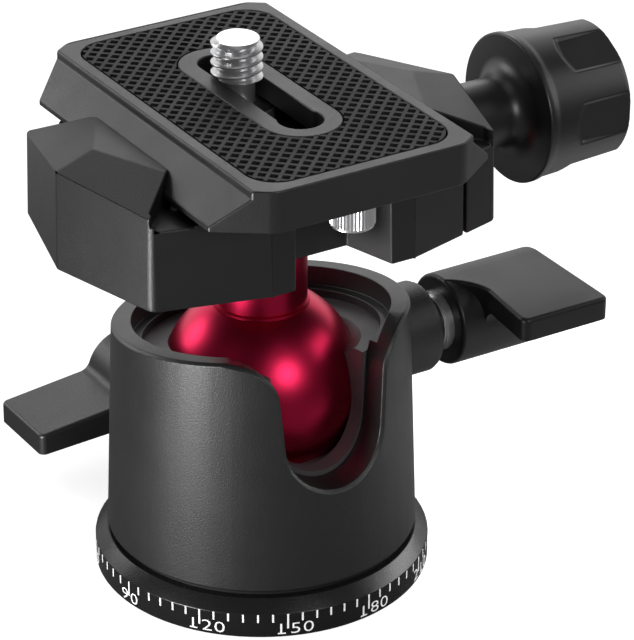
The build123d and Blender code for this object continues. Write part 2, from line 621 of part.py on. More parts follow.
def main_paddle_profile():
    """Side outline of the main paddle in YZ, with a dished blend into the barrel."""
    axis_z = MAIN_LOCK_HEIGHT
    top = axis_z + MAIN_LEVER_RADIUS
    under = top - MAIN_PADDLE_TIP_THICKNESS
    drop = axis_z - (under - MAIN_PADDLE_WEB_RADIUS)
    reach = web_centre(MAIN_LEVER_RADIUS, MAIN_PADDLE_WEB_RADIUS, drop)
    centre = (-reach, under - MAIN_PADDLE_WEB_RADIUS)
    share = MAIN_LEVER_RADIUS / (MAIN_LEVER_RADIUS + MAIN_PADDLE_WEB_RADIUS)
    touch = (centre[0] * share, axis_z + (centre[1] - axis_z) * share)
    start_angle = radians(90)
    end_angle = atan2(touch[1] - centre[1], touch[0] - centre[0])
    middle_angle = (start_angle + end_angle) / 2
    middle = (
        centre[0] + MAIN_PADDLE_WEB_RADIUS * cos(middle_angle),
        centre[1] + MAIN_PADDLE_WEB_RADIUS * sin(middle_angle),
    )
    tip = -MAIN_PADDLE_REACH
    return [
        Polyline(touch, (0, axis_z), (0, top), (tip, top), (tip, under), (centre[0], under)),
        ThreePointArc((centre[0], under), middle, touch),
    ]


def main_lock_lever():
    """Barrel along X with a flat paddle that points to -Y, its inner edge waisted."""
    profile = make_face([Plane.YZ * edge for edge in main_paddle_profile()])
    paddle = Pos(MAIN_LEVER_START, 0, 0) * extrude(profile, MAIN_LEVER_END - MAIN_LEVER_START)
    inside = MAIN_LEVER_START - CUT_ALLOWANCE
    beyond = -MAIN_PADDLE_REACH - CUT_ALLOWANCE
    root = (MAIN_LEVER_START, MAIN_PADDLE_ROOT_Y)
    waist = (MAIN_PADDLE_WAIST_X, MAIN_PADDLE_WAIST_Y)
    edge = [
        Line((inside, MAIN_PADDLE_ROOT_Y), root),
        ThreePointArc(root, (MAIN_PADDLE_SHOULDER_X, MAIN_PADDLE_SHOULDER_Y), waist),
        Polyline(waist, (MAIN_PADDLE_TIP_X, beyond), (inside, beyond), (inside, MAIN_PADDLE_ROOT_Y)),
    ]
    paddle -= Pos(0, 0, MAIN_LOCK_HEIGHT - MAIN_LEVER_RADIUS) * extrude(make_face(edge), FAR)
    tip = -MAIN_PADDLE_REACH
    corners = [e for e in paddle.edges().filter_by(Axis.Z) if abs((e @ 0.5).Y - tip) < 0.01]
    paddle = fillet(corners, MAIN_PADDLE_CORNER_RADIUS)
    paddle = fillet(paddle_rim(paddle, MAIN_LOCK_HEIGHT + MAIN_LEVER_RADIUS), LEVER_EDGE_RADIUS)
    barrel = rod_x(MAIN_LEVER_RADIUS, MAIN_LEVER_START, MAIN_LEVER_END, MAIN_LOCK_HEIGHT)
    barrel = fillet(barrel.edges().filter_by(GeomType.CIRCLE), LEVER_EDGE_RADIUS)
    body = paddle + barrel
    head_start = MAIN_LEVER_END - LEVER_SCREW_HEAD_HEIGHT - LEVER_SCREW_RECESS
    body -= rod_x(LEVER_SCREW_HEAD_RADIUS, head_start, FAR, MAIN_LOCK_HEIGHT)
    body -= rod_x(LEVER_SCREW_RADIUS, MAIN_LEVER_START, FAR, MAIN_LOCK_HEIGHT)
    return body


def paddle_rim(paddle, height):
    """Edges round a paddle's flat top at a height, all but the one at its root."""
    flat = [e for e in paddle.edges() if abs((e @ 0).Z - height) < 0.01 and abs((e @ 1).Z - height) < 0.01]
    return [e for e in flat if abs((e @ 0.5).Y) > 0.01]


def main_lock_stud():
    """Threaded stud from the lever to the shoe."""
    return rod_x(LOCK_STUD_RADIUS, LOCK_SHOE_END + FACE_CLEARANCE, MAIN_LEVER_START, MAIN_LOCK_HEIGHT)


def main_lock_collar():
    """Bright ring on the stud, against the lever's inner face."""
    start = MAIN_LEVER_START - LOCK_COLLAR_WIDTH
    edge = LOCK_COLLAR_WIDTH / 5
    body = rod_x(LOCK_COLLAR_RADIUS, start + edge, MAIN_LEVER_START, MAIN_LOCK_HEIGHT)
    body += rod_x(LOCK_COLLAR_RADIUS - edge, start, MAIN_LEVER_START, MAIN_LOCK_HEIGHT)
    return body - rod_x(LOCK_STUD_RADIUS, start, MAIN_LEVER_START, MAIN_LOCK_HEIGHT)


def main_lock_spacer():
    """Dark sleeve on the stud between the boss and the bright ring."""
    start = MAIN_BOSS_END + FACE_CLEARANCE
    end = MAIN_LEVER_START - LOCK_COLLAR_WIDTH
    sleeve = rod_x(LOCK_SPACER_RADIUS, start, end, MAIN_LOCK_HEIGHT)
    return sleeve - rod_x(LOCK_STUD_RADIUS, start, end, MAIN_LOCK_HEIGHT)


def main_lock_screw():
    """Socket screw that ties the main lever to its stud."""
    head_end = MAIN_LEVER_END - LEVER_SCREW_RECESS
    head_start = head_end - LEVER_SCREW_HEAD_HEIGHT
    body = rod_x(LEVER_SCREW_HEAD_RADIUS, head_start, head_end, MAIN_LOCK_HEIGHT)
    body += rod_x(LEVER_SCREW_RADIUS, MAIN_LEVER_START, head_end, MAIN_LOCK_HEIGHT)
    socket = hex_socket(LEVER_SOCKET_ACROSS_FLATS, -LEVER_SOCKET_DEPTH, 0)
    return body - Pos(head_end, 0, MAIN_LOCK_HEIGHT) * Rot(0, 90, 0) * socket


def pan_paddle_profile():
    """Side outline of the pan paddle in XZ, with a dished blend on its top side."""
    axis_z = PAN_LOCK_HEIGHT
    tip = -PAN_PADDLE_REACH
    root_x = -PAN_LEVER_RADIUS
    top_rise = PAN_PADDLE_TOP_ROOT - axis_z
    web = PAN_PADDLE_WEB_RADIUS
    centre_z = PAN_PADDLE_TOP_ROOT + web
    reach = web_centre(PAN_LEVER_RADIUS, web, top_rise + web)
    centre = (-reach, centre_z)
    share = PAN_LEVER_RADIUS / (PAN_LEVER_RADIUS + web)
    touch = (centre[0] * share, axis_z + (centre[1] - axis_z) * share)
    start_angle = radians(-90)
    end_angle = atan2(touch[1] - centre[1], touch[0] - centre[0])
    middle_angle = (start_angle + end_angle) / 2
    middle = (centre[0] + web * cos(middle_angle), centre[1] + web * sin(middle_angle))
    return [
        ThreePointArc(touch, middle, (centre[0], PAN_PADDLE_TOP_ROOT)),
        Polyline(
            (centre[0], PAN_PADDLE_TOP_ROOT),
            (tip, PAN_PADDLE_TOP_TIP),
            (tip, PAN_PADDLE_BOTTOM_TIP),
            (root_x, PAN_PADDLE_BOTTOM_ROOT),
            (root_x / 2, axis_z - PAN_PADDLE_HEEL_DROP),
            (0, axis_z),
            touch,
        ),
    ]


def pan_lock_lever():
    """Barrel along Y with a paddle that points to -X."""
    profile = make_face([Plane.XZ * edge for edge in pan_paddle_profile()])
    paddle = Pos(0, PAN_LEVER_END, 0) * extrude(profile, PAN_LEVER_END - PAN_LEVER_START)
    tip = -PAN_PADDLE_REACH
    corners = [e for e in paddle.edges().filter_by(Axis.Z) if abs((e @ 0.5).X - tip) < 0.01]
    paddle = fillet(corners, PAN_PADDLE_CORNER_RADIUS)
    paddle = fillet([e for e in paddle.edges() if on_pan_paddle_rim(e)], LEVER_EDGE_RADIUS)
    barrel = rod_y(PAN_LEVER_RADIUS, PAN_LEVER_START, PAN_LEVER_END, PAN_LOCK_HEIGHT)
    barrel = fillet(barrel.edges().filter_by(GeomType.CIRCLE), LEVER_EDGE_RADIUS)
    body = paddle + barrel
    head_start = PAN_LEVER_END - LEVER_SCREW_HEAD_HEIGHT - LEVER_SCREW_RECESS
    body -= rod_y(LEVER_SCREW_HEAD_RADIUS, head_start, FAR, PAN_LOCK_HEIGHT)
    return body - rod_y(LEVER_SCREW_RADIUS, PAN_LEVER_START, FAR, PAN_LOCK_HEIGHT)


def on_pan_paddle_top(point):
    """True where a point lies on the pan paddle's upper side or on its blend to the barrel."""
    web = PAN_PADDLE_WEB_RADIUS
    centre_z = PAN_PADDLE_TOP_ROOT + web
    reach = web_centre(PAN_LEVER_RADIUS, web, centre_z - PAN_LOCK_HEIGHT)
    share = (-point.X - reach) / (PAN_PADDLE_REACH - reach)
    level = PAN_PADDLE_TOP_ROOT + share * (PAN_PADDLE_TOP_TIP - PAN_PADDLE_TOP_ROOT)
    on_blend = abs(sqrt((point.X + reach) ** 2 + (point.Z - centre_z) ** 2) - web) < 0.01
    return abs(point.Z - level) < 0.01 or on_blend


def on_pan_paddle_rim(edge):
    """True for an edge round the pan paddle's upper side, but not across its root."""
    middle = edge @ 0.5
    across = abs(middle.Y - (PAN_LEVER_START + PAN_LEVER_END) / 2) < 0.01
    at_root = across and middle.X > -PAN_PADDLE_REACH / 2
    return all(on_pan_paddle_top(edge @ share) for share in (0, 0.5, 1)) and not at_root


def pan_lock_stud():
    """Threaded stud from the pan lever to its shoe."""
    return rod_y(PAN_STUD_RADIUS, PAN_SHOE_END + FACE_CLEARANCE, PAN_LEVER_START, PAN_LOCK_HEIGHT)


def pan_lock_collar():
    """Bright ring on the pan lock's stud."""
    start = PAN_BOSS_END + FACE_CLEARANCE
    ring = rod_y(PAN_COLLAR_RADIUS, start, PAN_LEVER_START, PAN_LOCK_HEIGHT)
    return ring - rod_y(PAN_STUD_RADIUS, start, PAN_LEVER_START, PAN_LOCK_HEIGHT)


def pan_lock_screw():
    """Socket screw that ties the pan lever to its stud."""
    head_end = PAN_LEVER_END - LEVER_SCREW_RECESS
    head_start = head_end - LEVER_SCREW_HEAD_HEIGHT
    body = rod_y(LEVER_SCREW_HEAD_RADIUS, head_start, head_end, PAN_LOCK_HEIGHT)
    body += rod_y(LEVER_SCREW_RADIUS, PAN_LEVER_START, head_end, PAN_LOCK_HEIGHT)
    socket = hex_socket(LEVER_SOCKET_ACROSS_FLATS, -LEVER_SOCKET_DEPTH, 0)
    return body - Pos(0, head_end, PAN_LOCK_HEIGHT) * Rot(-90, 0, 0) * socket


# ---- Ball and stem ----


def ball():
    """Ball with a flat and a bore for the stem, and a hollow centre."""
    centre = Pos(0, 0, BALL_HEIGHT)
    body = centre * Sphere(BALL_RADIUS) - disc(BALL_RADIUS, BALL_FLAT, FAR)
    root_bottom = STEM_ROOT_BOTTOM - 2 * FACE_CLEARANCE
    body -= disc(STEM_ROOT_RADIUS + RUNNING_CLEARANCE, root_bottom, BALL_FLAT)
    return body - centre * Sphere(BALL_CORE_RADIUS + RUNNING_CLEARANCE)


def ball_core():
    """Centre of the ball, about which it rolls sideways."""
    return Pos(0, 0, BALL_HEIGHT) * Sphere(BALL_CORE_RADIUS)


def ball_stem():
    """Stem from the ball up into the clamp, with a thin flange on the ball."""
    flange = STEM_FLANGE_BOTTOM
    spigot_top = CLAMP_BOTTOM + STEM_SPIGOT_DEPTH
    bevel = STEM_FLANGE_RADIUS - NECK_RADIUS
    body = turned(
        [
            (0, STEM_ROOT_BOTTOM),
            (STEM_ROOT_RADIUS, STEM_ROOT_BOTTOM),
            (STEM_ROOT_RADIUS, flange),
            (STEM_FLANGE_RADIUS, flange),
            (STEM_FLANGE_RADIUS, flange + STEM_FLANGE_THICKNESS - bevel / 2),
            (NECK_RADIUS, flange + STEM_FLANGE_THICKNESS),
            (NECK_RADIUS, spigot_top),
            (0, spigot_top),
        ]
    )
    return body - clamp_bolt_shank()


# ---- Dovetail clamp ----


def clamp_bolt_shank():
    """Shank of the bolt that ties the clamp to the stem."""
    bottom = CLAMP_BOLT_TOP - CLAMP_BOLT_HEAD_HEIGHT - CLAMP_BOLT_LENGTH
    return disc(CLAMP_BOLT_RADIUS, bottom, CLAMP_BOLT_TOP)


def clamp_bolt():
    """Cap bolt from the clamp's bed down into the stem."""
    top = CLAMP_BOLT_TOP
    head = disc(CLAMP_BOLT_HEAD_RADIUS, top - CLAMP_BOLT_HEAD_HEIGHT, top)
    socket = hex_socket(BOLT_SOCKET_ACROSS_FLATS, top - BOLT_SOCKET_DEPTH, top)
    return head + clamp_bolt_shank() - socket


def clamp_outline():
    """Plan outline of the whole clamp, both jaws together."""
    quarter = [
        (CLAMP_FRONT_HALF, CLAMP_FRONT_Y),
        (CLAMP_SHOULDER_X, CLAMP_SHOULDER_Y),
    ]
    right = [(x, -y) for x, y in quarter] + [(CLAMP_APEX_X, 0)] + quarter[::-1]
    left = [(-x, y) for x, y in reversed(right)]
    return right + left


def flank_x(height, clearance=0.0):
    """Half width of the dovetail flank at a height, with a clearance added."""
    rise = PLATE_LIP_BOTTOM - PLATE_LAND_TOP
    share = (height - PLATE_LAND_TOP) / rise
    return DOVETAIL_HALF + clearance - share * (DOVETAIL_HALF - PLATE_TOP_HALF)


def jaw_lip_x():
    """X place of the jaw's upper edge, where it meets the flank."""
    return flank_x(JAW_LIP_HEIGHT, JAW_CLEARANCE)


def dovetail_space():
    """Channel that the plate slides in, open at the top."""
    top = CLAMP_TALL + CUT_ALLOWANCE
    gap = JAW_CLEARANCE
    half = DOVETAIL_HALF + gap
    land = PLATE_LAND_TOP + gap
    neck = flank_x(PLATE_LIP_BOTTOM, gap)
    right = [(half, BED_HEIGHT), (half, land), (neck, PLATE_LIP_BOTTOM + gap), (neck, top)]
    left = [(-x, z) for x, z in reversed(right)]
    profile = make_face(Plane.XZ * Polyline(*(right + left), close=True))
    return Pos(0, FAR / 2, 0) * extrude(profile, FAR)


def facet_normal(first, second, third):
    """Upward normal of the plane through three points."""
    a = Vector(*second) - Vector(*first)
    b = Vector(*third) - Vector(*first)
    normal = a.cross(b)
    return normal if normal.Z > 0 else normal * -1


def jaw_roof_waste():
    """Space above the three facets on top of the +X jaw."""
    apex = (CLAMP_APEX_X, 0, JAW_APEX_HEIGHT)
    front = (CLAMP_SHOULDER_X, -CLAMP_SHOULDER_Y, JAW_FRONT_SHOULDER_HEIGHT)
    back = (CLAMP_SHOULDER_X, CLAMP_SHOULDER_Y, JAW_BACK_SHOULDER_HEIGHT)
    lip_front = (jaw_lip_x(), JAW_LIP_FRONT_Y, JAW_LIP_HEIGHT)
    lip_back = (jaw_lip_x(), JAW_LIP_BACK_Y, JAW_LIP_HEIGHT)
    waste = above(JAW_PEAK, facet_normal(JAW_PEAK, apex, front))
    waste += above(JAW_PEAK, facet_normal(JAW_PEAK, apex, back))
    waste += above(JAW_PEAK, facet_normal(JAW_PEAK, lip_front, lip_back))
    return waste & block((0, FAR), (-FAR, FAR), (DECK_HEIGHT, FAR))


def deck_waste():
    """Space above the low decks at the four corners of the clamp."""
    lip = DECK_LIP_WIDTH
    lip_x = jaw_lip_x()
    outer_x = CLAMP_SHOULDER_X + DECK_OVERRUN
    waste = None
    for end, lip_y in ((-1, JAW_LIP_FRONT_Y), (1, JAW_LIP_BACK_Y)):
        corner_y = end * (abs(lip_y) + outer_x - lip_x)
        outline = [(BED_HALF_WIDTH, lip_y), (lip_x, lip_y), (outer_x, corner_y), (BED_HALF_WIDTH, corner_y)]
        low = [(x - lip, y) if x > lip_x else (x, y) for x, y in outline]
        inner_y = end * (CLAMP_FRONT_Y - DECK_TRAY_INSET)
        tray = prism(outline, DECK_HEIGHT, FAR)
        bounded = block((0, CLAMP_SHOULDER_X - lip), sorted((0, inner_y)), (DECK_HEIGHT, FAR))
        piece = (tray & bounded) + prism(low, DECK_HEIGHT + DECK_LIP_HEIGHT, FAR)
        waste = piece if waste is None else waste + piece
    return waste


def recess_space(end):
    """Recess in the clamp's front or back face, where a stop screw travels."""
    mouth_y = end * (CLAMP_FRONT_Y + CUT_ALLOWANCE)
    floor_y = end * RECESS_FLOOR_Y
    outline = [
        (-RECESS_MOUTH_HALF, mouth_y),
        (RECESS_MOUTH_HALF, mouth_y),
        (RECESS_FLOOR_HALF, floor_y),
        (-RECESS_FLOOR_HALF, floor_y),
    ]
    return prism(outline, CLAMP_BOTTOM - CUT_ALLOWANCE, CLAMP_TALL + CUT_ALLOWANCE)


def clamp_blank():
    """Both jaws and the clamp body as one block, before they are parted."""
    outline = make_face(Polyline(*clamp_outline(), close=True))
    corners = [v for v in outline.vertices() if abs(v.Y) > 0.01]
    outline = fillet(corners, CLAMP_EDGE_RADIUS)
    apexes = [v for v in outline.vertices() if abs(v.Y) < 0.01]
    outline = fillet(apexes, CLAMP_APEX_RADIUS)
    body = Pos(0, 0, CLAMP_BOTTOM) * extrude(outline, CLAMP_TALL - CLAMP_BOTTOM, taper=CLAMP_DRAFT)
    body -= dovetail_space()
    roof = jaw_roof_waste()
    deck = deck_waste()
    for waste in (roof, deck):
        body -= waste
        body -= mirror(waste, Plane.YZ)
    for end in (-1, 1):
        body -= recess_space(end)
    return body


def clamp_body():
    """Fixed body with the -X jaw, the plate's bed and the screw and pin holes."""
    body = clamp_blank() - block((JAW_SPLIT_X, FAR), (-FAR, FAR), (0, FAR))
    body -= block((BED_HALF_WIDTH, FAR), (-FAR, FAR), (BED_HEIGHT, FAR))
    top = CLAMP_BOLT_TOP
    body -= disc(NECK_RADIUS, CLAMP_BOTTOM, CLAMP_BOTTOM + STEM_SPIGOT_DEPTH)
    body -= disc(CLAMP_BOLT_RADIUS, CLAMP_BOTTOM, top)
    body -= disc(CLAMP_BOLT_HEAD_RADIUS, top - CLAMP_BOLT_HEAD_HEIGHT, FAR)
    screw_bore = CLAMP_SCREW_RADIUS + RUNNING_CLEARANCE
    body -= rod_x(screw_bore, CLAMP_SCREW_END - CUT_ALLOWANCE, FAR, KNOB_HEIGHT)
    for side in (-1, 1):
        body -= guide_pin(side)
    return body - index_pin()


def guide_pin(side):
    """Steel pin that keeps the moving jaw square."""
    return rod_x(GUIDE_PIN_RADIUS, GUIDE_PIN_START, GUIDE_PIN_END, KNOB_HEIGHT, side * GUIDE_PIN_Y)


def index_pin():
    """Small pin pressed into the front deck of the fixed jaw."""
    top = DECK_HEIGHT + INDEX_PIN_PROUD
    return disc(INDEX_PIN_RADIUS, top - INDEX_PIN_LENGTH, top, INDEX_PIN_X, INDEX_PIN_Y)


def moving_jaw():
    """The +X jaw, bored for the clamp screw and the guide pins."""
    start = JAW_SPLIT_X + JAW_SPLIT_GAP
    jaw = clamp_blank() - block((-FAR, start), (-FAR, FAR), (0, FAR))
    lip_start = jaw_lip_x() - CUT_ALLOWANCE
    jaw += clamp_blank() & block((lip_start, start), (-FAR, FAR), (PLATE_LAND_TOP, FAR))
    jaw -= rod_x(CLAMP_SCREW_RADIUS + RUNNING_CLEARANCE, 0, FAR, KNOB_HEIGHT)
    jaw -= rod_x(KNOB_WASHER_RADIUS + RUNNING_CLEARANCE, SPOT_FACE_X, FAR, KNOB_HEIGHT)
    bore = GUIDE_PIN_RADIUS + RUNNING_CLEARANCE
    for side in (-1, 1):
        jaw -= rod_x(bore, 0, GUIDE_PIN_END + GUIDE_PIN_ROOM, KNOB_HEIGHT, side * GUIDE_PIN_Y)
    return jaw


# ---- Clamp knob ----


def clamp_knob():
    """Tapered knob with six flat flutes, a bead at its inner rim and a waisted stem."""
    taper = (KNOB_INNER_RADIUS - KNOB_OUTER_RADIUS) / (KNOB_OUTER_X - KNOB_INNER_X)
    bead_end = KNOB_INNER_X + KNOB_BEAD_WIDTH
    body_radius = KNOB_INNER_RADIUS - KNOB_BEAD_DEPTH
    edge = KNOB_EDGE_RADIUS
    stem = KNOB_STEM_RADIUS
    web = KNOB_STEM_FILLET
    steps = 8
    angles = [radians(90.0 * index / steps) for index in range(steps + 1)]
    profile = [(KNOB_STEM_START, 0), (KNOB_STEM_START, stem)]
    profile += [(KNOB_INNER_X - web + web * sin(a), stem + web * (1 - cos(a))) for a in angles]
    profile += [
        (KNOB_INNER_X, KNOB_INNER_RADIUS - edge / 3),
        (KNOB_INNER_X + edge / 3, KNOB_INNER_RADIUS),
        (bead_end, KNOB_INNER_RADIUS),
        (bead_end, body_radius),
        (KNOB_OUTER_X - edge, body_radius - taper * (KNOB_OUTER_X - edge - bead_end)),
        (KNOB_OUTER_X - edge * 0.3, KNOB_OUTER_RADIUS - edge * 0.3),
        (KNOB_OUTER_X, KNOB_OUTER_RADIUS - edge),
        (KNOB_OUTER_X, 0),
    ]
    body = turned_about_x(profile, KNOB_HEIGHT)
    for index in range(KNOB_FLUTE_COUNT):
        body -= knob_flute(index)
    body -= rod_x(CLAMP_SCREW_RADIUS, 0, KNOB_OUTER_X - KNOB_CAP_THICKNESS, KNOB_HEIGHT)
    return body - rod_x(KNOB_CAP_RADIUS, KNOB_OUTER_X - KNOB_CAP_THICKNESS, FAR, KNOB_HEIGHT)


def knob_flute(index):
    """Flat-bottomed flute, open at the knob's outer end."""
    floor = KNOB_INNER_RADIUS - KNOB_BEAD_DEPTH - KNOB_FLUTE_DEPTH
    half = KNOB_FLUTE_WIDTH / 2
    cutter = block((KNOB_FLUTE_START, FAR), (-half, half), (floor, KNOB_INNER_RADIUS + CUT_ALLOWANCE))
    angle = 90 + 360.0 * index / KNOB_FLUTE_COUNT
    return Pos(0, 0, KNOB_HEIGHT) * Rot(angle, 0, 0) * cutter


def knob_cap():
    """Round cap in the knob's outer face."""
    start = KNOB_OUTER_X - KNOB_CAP_THICKNESS
    return rod_x(KNOB_CAP_RADIUS, start, KNOB_OUTER_X - KNOB_CAP_SINK, KNOB_HEIGHT)


def knob_washer():
    """Steel washer under the knob's stem."""
    start = SPOT_FACE_X + FACE_CLEARANCE
    washer = rod_x(KNOB_WASHER_RADIUS, start, KNOB_STEM_START, KNOB_HEIGHT)
    return washer - rod_x(CLAMP_SCREW_RADIUS, start, KNOB_STEM_START, KNOB_HEIGHT)


def clamp_screw():
    """Screw fixed in the knob that draws the moving jaw in."""
    return rod_x(CLAMP_SCREW_RADIUS, CLAMP_SCREW_END, KNOB_OUTER_X - KNOB_CAP_THICKNESS, KNOB_HEIGHT)


# ---- Quick-release plate ----


def plate_blank():
    """Dovetail bar with its corners cut away in plan."""
    half_length = PLATE_LENGTH / 2
    lip = PLATE_CHAMFER
    right = [
        (DOVETAIL_HALF, PLATE_BOTTOM),
        (DOVETAIL_HALF, PLATE_LAND_TOP),
        (PLATE_TOP_HALF, PLATE_LIP_BOTTOM),
        (PLATE_TOP_HALF, PLATE_TOP - lip),
        (PLATE_TOP_HALF - lip, PLATE_TOP),
    ]
    left = [(-x, z) for x, z in reversed(right)]
    profile = make_face(Plane.XZ * Polyline(*(right + left), close=True))
    bar = Pos(0, half_length, 0) * extrude(profile, PLATE_LENGTH)
    slope = (half_length - PLATE_CORNER_Y) / (DOVETAIL_HALF - PLATE_CORNER_X)
    reach_x = DOVETAIL_HALF + CUT_ALLOWANCE
    reach_y = PLATE_CORNER_Y - slope * CUT_ALLOWANCE
    quarter = [(PLATE_CORNER_X, half_length), (reach_x, reach_y)]
    right_side = [(x, -y) for x, y in quarter] + quarter[::-1]
    outline = right_side + [(-x, y) for x, y in reversed(right_side)]
    face = make_face(Polyline(*outline, close=True))
    ends = [v for v in face.vertices() if abs(abs(v.Y) - half_length) < 0.01]
    face = fillet(ends, PLATE_CORNER_RADIUS)
    return bar & Pos(0, 0, PLATE_BOTTOM) * extrude(face, PLATE_THICKNESS)


def collar_space():
    """Raised collar round the slot, flush with the pad."""
    back_y = SLOT_BACK_Y - COLLAR_BACK_INSET
    return stadium(COLLAR_RADIUS, SLOT_FRONT_Y, back_y, PAD_BOTTOM, PLATE_TOP)


def pad_blank():
    """Pad outline as a slab between the plate's floor and top."""
    slab = Rectangle(2 * PAD_HALF_WIDTH, 2 * PAD_HALF_LENGTH)
    slab = fillet(slab.vertices(), PAD_CORNER_RADIUS)
    return Pos(0, 0, PAD_BOTTOM) * extrude(slab, PAD_DEPTH)


def quick_release_plate():
    """Dovetail plate with a pad recess, a slotted collar, a channel and screw holes."""
    body = plate_blank() - (pad_blank() - collar_space())
    body -= stadium(SLOT_HALF_WIDTH, SLOT_FRONT_Y, SLOT_BACK_Y, PLATE_BOTTOM, PLATE_TOP)
    body -= disc(KEYHOLE_RADIUS, PLATE_BOTTOM, PLATE_TOP, y=SLOT_FRONT_Y)
    body -= stadium(CHANNEL_HALF_WIDTH, SLOT_FRONT_Y, SLOT_BACK_Y, PLATE_BOTTOM, CHANNEL_ROOF)
    for end in (-1, 1):
        hole_top = PLATE_BOTTOM + STOP_SCREW_REACH
        body -= disc(STOP_SCREW_RADIUS, PLATE_BOTTOM, hole_top, y=end * STOP_SCREW_Y)
    return body


def plate_pad():
    """Rubber pad round the collar."""
    return pad_blank() - collar_space()


def stop_screw(end):
    """Knurled cap screw under one end of the plate, which stops it sliding out."""
    y = end * STOP_SCREW_Y
    bottom = PLATE_BOTTOM - STOP_SCREW_HEAD_HEIGHT
    body = disc(STOP_SCREW_HEAD_RADIUS, bottom, PLATE_BOTTOM, y=y)
    body += disc(STOP_SCREW_RADIUS, bottom, PLATE_BOTTOM + STOP_SCREW_REACH, y=y)
    return body - hex_socket(STOP_SOCKET_ACROSS_FLATS, bottom, bottom + STOP_SOCKET_DEPTH, y=y)


# ---- Camera screw ----


def camera_screw():
    """Captive screw: slotted head in the channel, slim shank and full thread above."""
    head_bottom = PLATE_BOTTOM + CAMERA_HEAD_LIFT
    head_top = head_bottom + CAMERA_HEAD_HEIGHT
    thread_bottom = PLATE_TOP + CAMERA_THREAD_START
    thread_top = PLATE_TOP + CAMERA_THREAD_RISE
    bevel = CAMERA_THREAD_CHAMFER
    body = turned(
        [
            (0, head_bottom),
            (CAMERA_HEAD_RADIUS, head_bottom),
            (CAMERA_HEAD_RADIUS, head_top),
            (CAMERA_SHANK_RADIUS, head_top),
            (CAMERA_SHANK_RADIUS, thread_bottom),
            (CAMERA_THREAD_RADIUS - CAMERA_THREAD_RUNOUT, thread_bottom),
            (CAMERA_THREAD_RADIUS, thread_bottom + CAMERA_THREAD_RUNOUT),
            (CAMERA_THREAD_RADIUS, thread_top - bevel),
            (CAMERA_THREAD_RADIUS - bevel, thread_top),
            (0, thread_top),
        ]
    )
    half = CAMERA_SLOT_WIDTH / 2
    slot = block((-FAR, FAR), (-half, half), (head_bottom, head_bottom + CAMERA_SLOT_DEPTH))
    return Pos(0, CAMERA_SCREW_Y, 0) * (body - slot)


def screw_clip():
    """Clip round the screw's shank, which slides along the channel with it."""
    bottom = PLATE_BOTTOM + CAMERA_HEAD_LIFT + CAMERA_HEAD_HEIGHT + FACE_CLEARANCE
    top = bottom + CLIP_THICKNESS
    ring = disc(CLIP_RADIUS, bottom, top, y=CAMERA_SCREW_Y)
    return ring - disc(CAMERA_SHANK_RADIUS + RUNNING_CLEARANCE, bottom, top, y=CAMERA_SCREW_Y)


PARTS = {
    "base_disc": base_disc(),
    "base_thread_insert": base_thread_insert(),
    "thread_adapter": thread_adapter(),
    "pan_spindle": pan_spindle(),
    "pan_retainer": pan_retainer(),
    "pan_washer": pan_washer(),
    "housing": housing(),
    "upper_seat": upper_seat(),
    "lower_cup": lower_cup(),
    "cup_spring": cup_spring(),
    "lock_shoe": lock_shoe(),
    "pan_shoe": pan_shoe(),
    "main_lock_lever": main_lock_lever(),
    "main_lock_stud": main_lock_stud(),
    "main_lock_collar": main_lock_collar(),
    "main_lock_spacer": main_lock_spacer(),
    "main_lock_screw": main_lock_screw(),
    "pan_lock_lever": pan_lock_lever(),
    "pan_lock_stud": pan_lock_stud(),
    "pan_lock_collar": pan_lock_collar(),
    "pan_lock_screw": pan_lock_screw(),
    "ball_core": ball_core(),
    "ball": ball(),
    "ball_stem": ball_stem(),
    "clamp_body": clamp_body(),
    "clamp_bolt": clamp_bolt(),
    "index_pin": index_pin(),
    "moving_jaw": moving_jaw(),
    "clamp_knob": clamp_knob(),
    "knob_cap": knob_cap(),
    "knob_washer": knob_washer(),
    "clamp_screw": clamp_screw(),
    "quick_release_plate": quick_release_plate(),
    "plate_pad": plate_pad(),
    "screw_clip": screw_clip(),
    "camera_screw": camera_screw(),
}
for number in range(SPINDLE_SCREW_COUNT):
    PARTS[f"spindle_screw_{number + 1}"] = spindle_screw(number)
for number in range(RETAINER_SCREW_COUNT):
    PARTS[f"retainer_screw_{number + 1}"] = retainer_screw(number)
for place, end in (("front", -1), ("back", 1)):
    PARTS[f"stop_screw_{place}"] = stop_screw(end)
    PARTS[f"guide_pin_{place}"] = guide_pin(end)

os.makedirs("parts", exist_ok=True)
for node, solid in PARTS.items():
    export_step(solid, f"parts/{node}.step")
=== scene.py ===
"""Looks for a tripod ball head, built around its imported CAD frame."""

import json
import logging
import math
from dataclasses import dataclass
from enum import Enum

import bmesh
import bpy
from mathutils import Matrix, Vector

